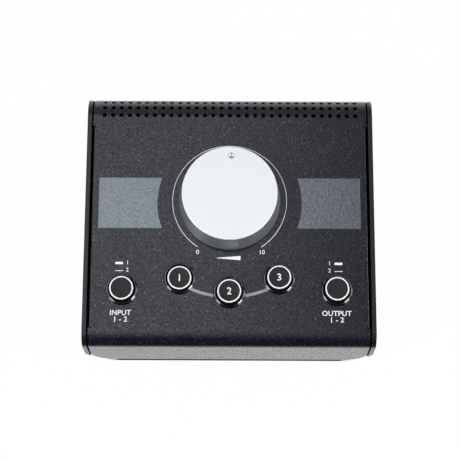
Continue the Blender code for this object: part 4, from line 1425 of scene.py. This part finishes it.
@dataclass
class VolumeKnob(Assembly):
    """The large knob: a hollow tapered body, a lighter top disc with its dimple, and the control it turns."""

    base_radius: float = 0.02495
    top_radius: float = 0.02305
    rise: float = 0.0154
    gap: float = 0.0005
    joint: Point = (0.0006, 0.00026)
    joint_gap: float = 0.00004
    wall: float = 0.002
    hub: Point = (0.0058, 0.0048)
    bore: Place = (0.0033, 0.0019, 0.0028)
    cap_thickness: float = 0.0016
    dimple: Place = (0.0185, 0.0015, 0.00115)
    lining: Place = (0.00006, 0.00005, 0.00001)
    setting: float = math.radians(2.4)
    body_edges: tuple[float, ...] = (0.0003, 0.0004, 0.0008, 0.0003, 0.0002, 0.0001)
    cap_edges: Point = (0.0001, 0.0003)
    sides: int = 160

    @property
    def floor(self) -> float:
        """Height of the top disc's underside."""
        return self.rise - self.cap_thickness

    @property
    def ball(self) -> float:
        """Radius of the ball that cuts the dimple."""
        _, radius, depth = self.dimple
        return (radius ** 2 + depth ** 2) / (2 * depth)

    @property
    def seat(self) -> Matrix:
        """Place of the dimple's middle on the top disc, in the panel's axes."""
        return spin(-self.setting, "Z") @ shift(0, self.dimple[0], self.rise)

    def body(self) -> Mesh:
        """Turn the hollow body and cut the shaft's hole with its flat.

        Returns:
            The body in the panel's axes.
        """
        top = self.floor - self.joint[1] - self.joint_gap
        roof = top - self.wall
        hub, low = self.hub
        corners = [(hub, low), (hub, roof), (self.top_radius - self.wall, roof),
                   (self.base_radius - self.wall, self.gap), (self.base_radius, self.gap),
                   (self.top_radius, top)]
        line = [(x, z, edge) for (x, z), edge in zip(corners, self.body_edges)]
        blank = turned([(0, low), *line, (0, top)], sides=self.sides, steps=6)
        radius, flat, start = self.bore
        turn = math.acos(flat / radius)
        hole = arc((0, 0), radius, QUARTER + turn, QUARTER - turn + math.tau, steps=40)
        return Weld.CUT.apply(blank, extruded(hole, start, roof, Axis.Z))

    def cap(self) -> Mesh:
        """Turn the top disc, its rim just clear of the body, and cut the dimple.

        Returns:
            The disc in the panel's axes.
        """
        step, drop = self.joint
        rim, neck, skirt = self.top_radius, self.top_radius - step, self.floor - drop
        low_edge, high_edge = self.cap_edges
        disc = turned([(0, self.floor), (neck, self.floor), (neck, skirt), (rim, skirt, low_edge),
                       (rim, self.rise, high_edge), (0, self.rise)], sides=self.sides, steps=6)
        tool = bmesh.new()
        bmesh.ops.create_uvsphere(tool, u_segments=64, v_segments=40, radius=self.ball,
                                  matrix=self.seat @ shift(z=self.ball - self.dimple[2]))
        return Weld.CUT.apply(disc, mesh_of(tool))

    def pointer(self) -> Mesh:
        """Turn the bright-cut lining of the dimple.

        Returns:
            The lining in the panel's axes.
        """
        under, behind, proud = self.lining
        middle = self.ball - self.dimple[2]
        inner, outer = (arc((0, middle), radius, -QUARTER, math.asin((proud - middle) / radius), steps=24)
                        for radius in (self.ball - under, self.ball + behind))
        line = [(0.0, inner[0][1]), *inner[1:], *reversed(outer[1:]), (0.0, outer[0][1])]
        return moved(turned(line, sides=64), self.seat)

    def dress(self) -> None:
        """Build the knob and finish the control behind it."""
        panel = self.case.panel
        self.shop.add("volume_knob_body", moved(self.body(), panel), Look.KNOB_SIDE, "knob_silver", "knob",
                      replaces=("knob_body",))
        self.shop.add("volume_knob_face", moved(self.cap(), panel), Look.KNOB_FACE, "knob_face", "knob",
                      replaces=("knob_cap",))
        self.shop.add("volume_pointer_dimple", moved(self.pointer(), panel), Look.POINTER, "knob_face",
                      "knob")
        self.shop.refinish(Look.STEEL, "pot_body", "pot_washer", "pot_nut", "pot_shaft")


@dataclass
class PushButtons(Assembly):
    """Five push switches: dished caps with a pale ring, gloss collars, plungers and switch bodies."""

    radius: float = 0.006
    rise: float = 0.0044
    sink: float = 0.0014
    dish: float = 0.00018
    dish_shares: tuple[float, ...] = (0.75, 0.5, 0.25, 0.0)
    plunger: Place = (0.00195, 0.005, 0.0022)
    cap_edges: Point = (0.0002, 0.00035)
    ring: Point = (0.0051, 0.0058)
    ring_line: Line = ((0.00005, -0.0003), (0.0, -0.00012), (0.0001, 0.00001), (0.0002, 0.00005))
    collar: Place = (0.00635, 0.0078, 0.00173)
    collar_steps: Point = (0.00055, 0.00095)
    collar_heights: Place = (0.0003, 0.0014, 0.0011)
    collar_edges: Point = (0.00006, 0.0001)
    sleeve: Point = (0.0004, 0.0022)
    latched: float = 0.0022
    numeral: Place = (0.0034, 0.00005, 0.00025)
    numeral_sink: float = 0.0001
    sides: int = 72

    def cap(self) -> Mesh:
        """Turn a cap with a dished top and a square socket for its plunger.

        Returns:
            The cap in the button's own axes.
        """
        rim = self.ring[0]
        dish = [(rim * share, self.rise - self.dish * (1 - share ** 2)) for share in self.dish_shares]
        low_edge, high_edge = self.cap_edges
        blank = turned([(0, -self.sink), (self.radius, -self.sink, low_edge),
                        (self.radius, self.rise, high_edge), (rim, self.rise), *dish], self.sides)
        half, low, high = self.plunger
        return Weld.CUT.apply(blank, box((-half, -half, -low), (half, half, high)))

    def pale_ring(self) -> Mesh:
        """Turn the ring inlaid in the rim; its line is measured from its outer radius and the cap's top.

        Returns:
            The ring in the button's own axes.
        """
        inner, outer = self.ring
        line = [(outer - inset, self.rise + height) for inset, height in self.ring_line]
        return turned([(inner, line[0][1]), *line, (inner, line[-1][1])], self.sides)

    def collar_ring(self) -> Mesh:
        """Turn the gloss collar with its steep wall, bevel and crest.

        Returns:
            The collar in the button's own axes.
        """
        inner, outer, crest = self.collar
        bevel, ridge = self.collar_steps
        foot, shoulder, lip = self.collar_heights
        wall, depth = self.sleeve
        sharp, soft = self.collar_edges
        line = [(inner, -depth), (inner + wall, -depth), (inner + wall, foot), (outer, foot, sharp),
                (outer - bevel, shoulder, soft), (outer - ridge, crest, soft), (inner, lip)]
        return turned(line, sides=self.sides, steps=8)

    def dress(self) -> None:
        """Build the five buttons and place them."""
        add = self.shop.add
        numerals = {Button.MONO: "1", Button.MUTE: "2", Button.DIM: "3"}
        for button in Button:
            name = button.name.lower()
            body = name + "_button"
            seat = self.case.at(*button.value, -self.latched if button is Button.MONO else 0.0)
            add(name + "_push_cap", moved(self.cap(), seat), Look.CAP, "button_cap", body,
                replaces=(name + "_cap",))
            add(name + "_cap_ring", moved(self.pale_ring(), seat), Look.WHITE_INK, "button_cap", body)
            if button in numerals:
                label = moved(lettering(numerals[button], *self.numeral),
                              seat @ shift(z=self.rise - self.dish - self.numeral_sink))
                add(name + "_cap_numeral", label, Look.WHITE_INK, "button_cap", body)
            add(name + "_gloss_collar", moved(self.collar_ring(), self.case.at(*button.value)), Look.COLLAR,
                "collar_gloss", replaces=(name + "_collar",))
            self.shop.refinish(Look.PLUNGER, name + "_plunger")
            self.shop.refinish(Look.SWITCH, name + "_switch")


class Letters(Enum):
    """The panel's lettering by its height and how much thicker it is than the font's own strokes."""

    SCALE = (0.0021, 0.00003)
    LEGEND = (0.0019, 0.00002)
    CAPTION = (0.00245, 0.00005)


@dataclass
class PanelPrint(Assembly):
    """The printed marks on the panel, each a thin film of ink."""

    depth: float = 0.00004
    sunk: float = 0.00002
    block_x: float = 0.0643
    block_rows: Point = (-0.014, 0.01155)
    block_arc: Point = (0.0355, -0.0011)
    scale: Point = (0.0279, 0.0282)
    scale_turn: float = 146.5
    link: Point = (0.0474, 0.0488)
    link_turns: Point = (9.3, 22.9)
    wedge_x: Point = (-0.0061, 0.0054)
    wedge_y: float = -0.0289
    wedge_halves: Point = (0.0001, 0.00105)
    numeral_rows: Place = (-0.0155, 0.0158, -0.0259)
    bar_rows: tuple[tuple[str, float, float], ...] = (("full", -0.0316, 0.0012), ("thin", -0.0354, 0.00032))
    bar_end_share: float = 0.4
    text_rows: Span = (-0.0313, -0.0349, -0.05605, -0.0592)
    selectors: tuple[tuple[str, Point, float, float, str], ...] = (
        ("left", (-0.0555, -0.0516), -0.0495, -0.0525, "INPUT"),
        ("right", (0.0511, 0.0550), 0.0487, 0.0519, "OUTPUT"))

    def film(self, outline: Sequence[Point]) -> Mesh:
        """Return a film of ink by its outline."""
        return extruded(outline, 0, self.depth, Axis.Z)

    def band(self, radii: Point, start: float, end: float, steps: int) -> Mesh:
        """Return an arc-shaped band by its radii and its angles in degrees from the panel's Y."""
        low, high = (QUARTER + math.radians(turn) for turn in (start, end))
        return self.film(arc((0, 0), radii[1], low, high, steps) + arc((0, 0), radii[0], high, low, steps))

    def block(self, side: int) -> Mesh:
        """Draw one slate block with its hollow inner edge.

        Args:
            side: -1 for the left, 1 for the right.

        Returns:
            The block in the panel's axes.
        """
        radius, middle = self.block_arc
        low, high = self.block_rows
        turns = [math.asin((row - middle) / radius) for row in self.block_rows]
        outline = [*arc((0, middle), radius, *turns, steps=40), (self.block_x, high), (self.block_x, low)]
        return self.film([(side * x, y) for x, y in outline])

    def bar(self, start: float, end: float, y: float, thick: float) -> Mesh:
        """Return a legend bar with rounded ends."""
        low, high, radius = y - thick / 2, y + thick / 2, thick * self.bar_end_share
        return self.film(rounded([(start, y), (start, low, radius), (end, low, radius), (end, high, radius),
                                  (start, high, radius), (start, y)], steps=4)[:-1])

    def words(self, text: str, letters: Letters, x: float, y: float) -> Mesh:
        """Return lettering at a place of the panel."""
        return moved(lettering(text, *letters.value, self.depth), shift(x, y))

    def marks(self) -> dict[str, Mesh]:
        """Draw every mark.

        Returns:
            The marks by name, in the panel's axes.
        """
        (start, end), y, (thin, thick) = self.wedge_x, self.wedge_y, self.wedge_halves
        wedge = [(start, y - thin), (end, y - thick), (end, y + thick), (start, y + thin)]
        near, far = self.link_turns
        zero, ten, row = self.numeral_rows
        marks = {
            "volume_scale_arc": self.band(self.scale, -self.scale_turn, self.scale_turn, steps=160),
            "link_arc_left": self.band(self.link, -180 - far, -180 - near, steps=24),
            "link_arc_right": self.band(self.link, -180 + near, -180 + far, steps=24),
            "slate_block_left": self.block(-1),
            "slate_block_right": self.block(1),
            "volume_wedge": self.film(wedge),
            "scale_zero": self.words("0", Letters.SCALE, zero, row),
            "scale_ten": self.words("10", Letters.SCALE, ten, row),
        }
        one, two, caption, ranges = self.text_rows
        for hand, bars, x, middle, word in self.selectors:
            for kind, y, thick in self.bar_rows:
                marks[f"legend_bar_{kind}_{hand}"] = self.bar(*bars, y, thick)
            marks["legend_one_" + hand] = self.words("1", Letters.LEGEND, x, one)
            marks["legend_two_" + hand] = self.words("2", Letters.LEGEND, x, two)
            marks["caption_" + hand] = self.words(word, Letters.CAPTION, middle, caption)
            marks["caption_range_" + hand] = self.words("1 - 2", Letters.CAPTION, middle, ranges)
        return marks

    def dress(self) -> None:
        """Place every mark on the panel in its ink."""
        inks = {"link": Look.PALE_INK, "slate": Look.SLATE_INK}
        for name, mesh in self.marks().items():
            ink = inks.get(name.split("_")[0], Look.WHITE_INK)
            self.shop.add("print_" + name, moved(mesh, self.case.at(0, 0, -self.sunk)), ink, "cover_paint")


@dataclass
class RearJacks(Assembly):
    """Eight sockets with threaded noses and spring contacts, their nuts, and the numerals above them."""

    count: int = 8
    pitch: float = 0.0155
    height: float = 0.025
    body_size: Place = (0.0135, 0.024, 0.014)
    body_edge: float = 0.0008
    floor: float = 0.0015
    nose: float = 0.0047
    nose_edge: float = 0.0004
    thread: Span = (0.0004, 0.00012, 0.0004, -0.0001)
    thread_gap: float = 0.00002
    thread_count: int = 9
    bore: float = 0.0033
    nut_flats: float = 0.0117
    nut_thickness: float = 0.002
    nut_play: float = 0.0002
    nut_chamfer: Point = (0.0006, 0.0004)
    nut_crest: float = 0.00005
    spring_line: Line = ((0.0031, -0.018), (0.0031, -0.0105), (0.0024, -0.0078), (0.0031, -0.0052),
                         (0.0031, -0.0035))
    spring: Point = (0.00015, 0.0006)
    numeral: Point = (0.0026, 0.00004)
    numeral_place: Place = (0, 0.0098, -0.00002)

    @property
    def inside(self) -> float:
        """Height of the sockets' front faces behind the wall's face."""
        return -self.case.sheet - self.case.fit

    def places(self) -> list[Matrix]:
        """Return each socket's place, from the left as the front is faced, with Z out of the wall."""
        turns = [index - (self.count - 1) / 2 for index in range(self.count)]
        return [self.case.on_rear(turn * self.pitch, self.height) for turn in turns]

    def socket(self) -> Mesh:
        """Join a moulded body and its nose, bore them and wind the thread.

        Returns:
            A socket with its axis along Z and the wall's face at height zero.
        """
        width, length, tall = self.body_size
        x, y, edge = width / 2, tall / 2, self.body_edge
        corners = [(x, -y, edge), (x, y, edge), (-x, y, edge), (-x, -y, edge)]
        outline = rounded([(0, -y), *corners, (0, -y)], steps=4)[:-1]
        body = extruded(outline, self.inside - length, self.inside, Axis.Z)
        depth, half, pitch, start = self.thread
        core, reach = self.nose - depth / 2, self.case.jack_reach
        nose = turned([(0, self.inside - self.case.sheet), (core, self.inside - self.case.sheet),
                       (core, reach, self.nose_edge), (0, reach)], sides=64, steps=4)
        root, tip = self.nose - depth, self.nose - self.thread_gap
        up = spin(QUARTER, "X")
        ridge = moved(turned([(root, -half), (root, half), (tip, 0.0)], sides=48), up)
        ridges = self.shop.repeats.repeat(ridge, 1, self.thread_count, (pitch, pitch))
        threads = moved(ridges, up @ shift(0, start))
        low, mouth = self.inside - length + self.floor, self.bore + self.nose_edge
        bore = turned([(0, low), (self.bore, low), (self.bore, reach - self.nose_edge), (mouth, reach),
                       (mouth, reach + self.over), (0, reach + self.over)], sides=48)
        builder = bmesh.new()
        for mesh in (Weld.CUT.apply(Weld.JOIN.apply(body, nose), bore), threads):
            builder.from_mesh(mesh)
        return mesh_of(builder, clean=False)

    def nut(self) -> Mesh:
        """Chamfer a hexagon by a turned dome and bore it.

        Returns:
            A nut with its underside just off the wall.
        """
        low, top = self.case.fit, self.case.fit + self.nut_thickness
        corner = self.nut_flats / 2 / math.cos(math.pi / 6)
        rim, crest = corner + self.nut_play, top + self.nut_crest
        inset, drop = self.nut_chamfer
        dome = turned([(0, 0), (rim, 0), (rim, top - drop), (corner - inset, crest), (0, crest)], sides=72)
        blank = Weld.COMMON.apply(extruded(hexagon(self.nut_flats), low, top, Axis.Z), dome)
        return Weld.CUT.apply(blank, rod(self.nose + self.nut_play, -self.over, top + self.over, sides=64))

    def contact(self) -> Mesh:
        """Return the bent spring inside a socket, in the socket's axes."""
        (thick, half), line = self.spring, self.spring_line
        return extruded([*line, *((x + thick, z) for x, z in reversed(line))], -half, half, Axis.Y)

    def dress(self) -> None:
        """Place the sockets, nuts, springs and numerals."""
        add = self.shop.add
        for number, place in enumerate(self.places(), 1):
            label = str(number)
            add("jack_body_" + label, moved(self.socket(), place), Look.JACK, "jack_plastic",
                replaces=("jack_socket_" + label,))
            add("jack_ring_nut_" + label, moved(self.nut(), place), Look.NICKEL, "jack_nut_plate",
                replaces=("jack_nut_" + label,))
            add("jack_spring_" + label, moved(self.contact(), place), Look.CONTACT, "plated_steel")
            ink = moved(lettering(label, *self.numeral), place @ shift(*self.numeral_place))
            add("print_jack_numeral_" + label, ink, Look.WHITE_INK, "tray_paint")


@dataclass
class Electronics(Assembly):
    """The boards with their solder joints and small parts, and the ribbon between them."""

    solder_line: Line = ((0, -0.0001), (0.0007, -0.0001), (0.0006, 0.0002), (0.0003, 0.0006),
                         (0.0002, 0.0009), (0, 0.0009))
    solder_grid: tuple[int, int] = (40, 4)
    solder_pitch: Point = (0.0031, 0.0045)
    solder_back: float = 0.018
    solder_start: float = -0.0135
    chip: Place = (0.001, 0.0006, 0.0007)
    chip_edge: float = 0.0001
    chip_grid: tuple[int, int] = (14, 2)
    chip_pitch: Point = (0.0042, 0.0032)
    chip_place: Point = (-0.026, 0.0024)

    def dress(self) -> None:
        """Finish the boards and the ribbon, and lay out the joints and small parts."""
        shop = self.shop
        shop.refinish(Look.BOARD, "control_board", "jack_board")
        shop.refinish(Look.RIBBON, "ribbon_cable")
        low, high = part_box("jack_board")
        joints = shop.repeats.repeat(turned(self.solder_line, sides=12), *self.solder_grid, self.solder_pitch,
                                     finish=Look.SOLDER.material())
        flip = shift(0, low.y + self.solder_back, low.z) @ spin(math.pi, "X") @ shift(0, self.solder_start)
        shop.add("jack_board_solder", moved(joints, flip), Look.SOLDER, "plated_steel")
        x, y, z = self.chip
        chip = eased(box((-x, -y, 0), (x, y, z)), self.chip_edge)
        chips = shop.repeats.repeat(chip, *self.chip_grid, self.chip_pitch, finish=Look.CHIP.material())
        place = shift(self.chip_place[0], low.y + self.chip_place[1], high.z)
        shop.add("jack_board_parts", moved(chips, place), Look.CHIP, "switch_body")


class Softbox(Enum):
    """The square softboxes by their place, side and power in watts."""

    KEY_SOFTBOX = ((-0.48, -0.4, 0.6), 0.26, 2.5)
    FILL_SOFTBOX = ((0.75, -0.05, 0.55), 0.3, 1.5)
    LEFT_CARD = ((-0.62, -0.5, 0.3), 0.3, 1.5)
    RIGHT_CARD = ((0.62, -0.5, 0.3), 0.3, 3.2)


@dataclass
class Studio(Assembly):
    """A plain pale floor, soft light and the camera at the photograph's angle.

    A span here is where a direction or a place changes the light, and the light's level at either end of it.
    """

    focal_pixels: float = 1365.5
    image_pixels: float = 460.0
    eye: Place = (0.00025, -0.1746, 0.6486)
    tilt: float = 0.2415
    lean: float = 0.0043
    sensor: float = 36.0
    clip: Point = (0.01, 50.0)
    room: Colour = (0.95, 0.97, 1.0)
    lamp: Colour = (0.972, 0.984, 1.0)
    target: Place = (0.0, 0.0, 0.05)
    upward: Span = (0.05, 0.7, 1.0, 0.25)
    forward: Span = (-0.94, -0.6, 0.02, 1.0)
    beside: Span = (0.7, 0.9, 1.0, 2.2)
    patch: tuple[tuple[str, Span], ...] = (
        ("X", (-0.015, 0.1, 0.65, 0.0)), ("Y", (0.1, 0.24, 1.0, 0.0)), ("Y", (-0.9, -0.15, 0.0, 1.0)),
        ("Z", (0.5, 0.75, 0.0, 1.0)), ("X", (-0.45, -0.25, 0.0, 1.0)))
    # Painted shadow under the case: half-width where it fades, half-width where it ends, half-depth.
    contact: Place = (0.0555, 0.0625, 0.0589)
    card: Point = (-0.1, -0.062)
    # The glow that reflections see dims just before the case: painted shade of the floor there.
    card_end: Span = (-0.068, -0.0605, 1.0, 0.8)
    paper: Colour = (0.9, 0.9, 0.9)
    pale_paper: Colour = (0.93, 0.93, 0.93)
    # Colour of the painted shadow under the case.
    shadow: Colour = (0.02, 0.02, 0.02)
    whiteness: float = 0.985
    floor_half: float = 3.0

    def camera(self) -> None:
        """Stand the camera on the panel's own axes."""
        lens = tuned(bpy.data.cameras.new("camera"), sensor_width=self.sensor, clip_start=self.clip[0],
                     clip_end=self.clip[1], lens=self.sensor * self.focal_pixels / self.image_pixels)
        item = placed("camera", lens)
        right = Vector((1, 0, 0))
        up = Vector((0, math.cos(self.tilt), math.sin(self.tilt)))
        back = right.cross(up)
        side = (right + up * self.lean).normalized()
        axes = Matrix((side, back.cross(side), back)).transposed().to_4x4()
        item.matrix_world = self.case.at(*self.eye) @ axes
        bpy.context.scene.camera = item

    def world(self) -> None:
        """Show the camera white, and the object a room that is bright low down and dim overhead."""
        world = tuned(bpy.data.worlds.new("studio"), use_nodes=True)
        bpy.context.scene.world = world
        nodes = Wiring(world.node_tree)
        way = nodes.parts(nodes.add("ShaderNodeTexCoord").outputs["Generated"])
        strength = nodes.product(nodes.span(way["Z"], *self.upward), nodes.span(way["Y"], *self.forward),
                                 nodes.span(nodes.maths("ABSOLUTE", way["X"]), *self.beside))
        patch = nodes.product(*(nodes.span(way[axis], *span) for axis, span in self.patch))
        room = nodes.feed(world.node_tree.nodes["Background"], Color=(*self.room, 1.0),
                          Strength=nodes.maths("ADD", strength, patch))
        white = nodes.add("ShaderNodeBackground", Color=(1, 1, 1, 1), Strength=1.0)
        seen = nodes.add("ShaderNodeLightPath").outputs["Is Camera Ray"]
        nodes.feed(world.node_tree.nodes["World Output"], Surface=nodes.choose(seen, room, white))

    def floor(self) -> None:
        """Lay a wide pale floor that shows white with a faint shadow, a painted shadow under the case, clear
        below.
        """
        half = self.floor_half
        mesh = bpy.data.meshes.new("studio_floor")
        corners = [(-half, -half, 0), (half, -half, 0), (half, half, 0), (-half, half, 0)]
        mesh.from_pydata(corners, [], [(0, 1, 2, 3)])
        paper = Surface("studio_floor_paper")
        x, y, _ = paper.parts(paper.vector)
        inner, outer, front = self.contact
        # Mask of the floor under the case, painted in the shadow colour as a painted shadow.
        across = paper.span(paper.maths("ABSOLUTE", x), inner, outer, 1.0, 0.0)
        under = paper.product(across, paper.maths("LESS_THAN", paper.maths("ABSOLUTE", y), front))
        tone = paper.blend(paper.noise(paper.vector, scale=900.0, detail=3.0), self.paper, self.pale_paper)
        paper.feed(paper.shader, Base_Color=paper.blend(under, tone, self.shadow), Roughness=0.9)
        path = paper.add("ShaderNodeLightPath").outputs
        # The glow fades out far in front and dims near the case as painted shade.
        shine = paper.product(paper.span(y, *self.card), paper.span(y, *self.card_end))
        glow = paper.add("ShaderNodeEmission", Color=(1, 1, 1, 1),
                         Strength=paper.maths("MAXIMUM", shine, path["Is Camera Ray"]))
        seen = paper.product(path["Is Camera Ray"], self.whiteness)
        seen = paper.maths("MAXIMUM", seen, path["Is Glossy Ray"])
        # Under the case, camera and glossy rays see the painted shadow in place of the glow.
        seen = paper.product(seen, paper.maths("SUBTRACT", 1.0, under))
        seen = paper.maths("MAXIMUM", seen, path["Is Transmission Ray"])
        behind = paper.add("ShaderNodeNewGeometry").outputs["Backfacing"]
        clear = paper.add("ShaderNodeBsdfTransparent")
        sheet = paper.choose(behind, paper.choose(seen, paper.shader, glow), clear)
        paper.feed(paper.tree.nodes["Material Output"], Surface=sheet)
        mesh.materials.append(paper.material)
        item = placed("studio_floor", mesh)

    def lights(self) -> None:
        """Hang the softboxes, each turned to the object."""
        for softbox in Softbox:
            name = softbox.name.lower()
            place, size, power = softbox.value
            lamp = tuned(bpy.data.lights.new(name, "AREA"), shape="SQUARE", size=size, energy=power,
                         color=self.lamp)
            away = (Vector(place) - Vector(self.target)).to_track_quat("Z", "Y")
            placed(name, lamp).matrix_world = shift(*place) @ away.to_matrix().to_4x4()

    def dress(self) -> None:
        """Set up the camera, the light and the floor."""
        self.camera()
        self.world()
        self.floor()
        self.lights()
        bpy.context.scene.view_settings.view_transform = "Standard"


def main() -> None:
    """Build the shared effects, the controller's sub-assemblies and the studio."""
    logging.basicConfig(level=logging.INFO, format="%(message)s")
    powder_group()
    dust_group()
    wear_group()
    shop = Workshop()
    for assembly in (CoverShell, ChassisTray, SideCheeks, Fasteners, VolumeKnob, PushButtons, PanelPrint,
                     RearJacks, Electronics, Studio):
        LOG.info("building %s", assembly.__name__)
        assembly(shop).dress()
    LOG.info("%d pieces finished", shop.count)


if __name__ == "__main__":
    main()
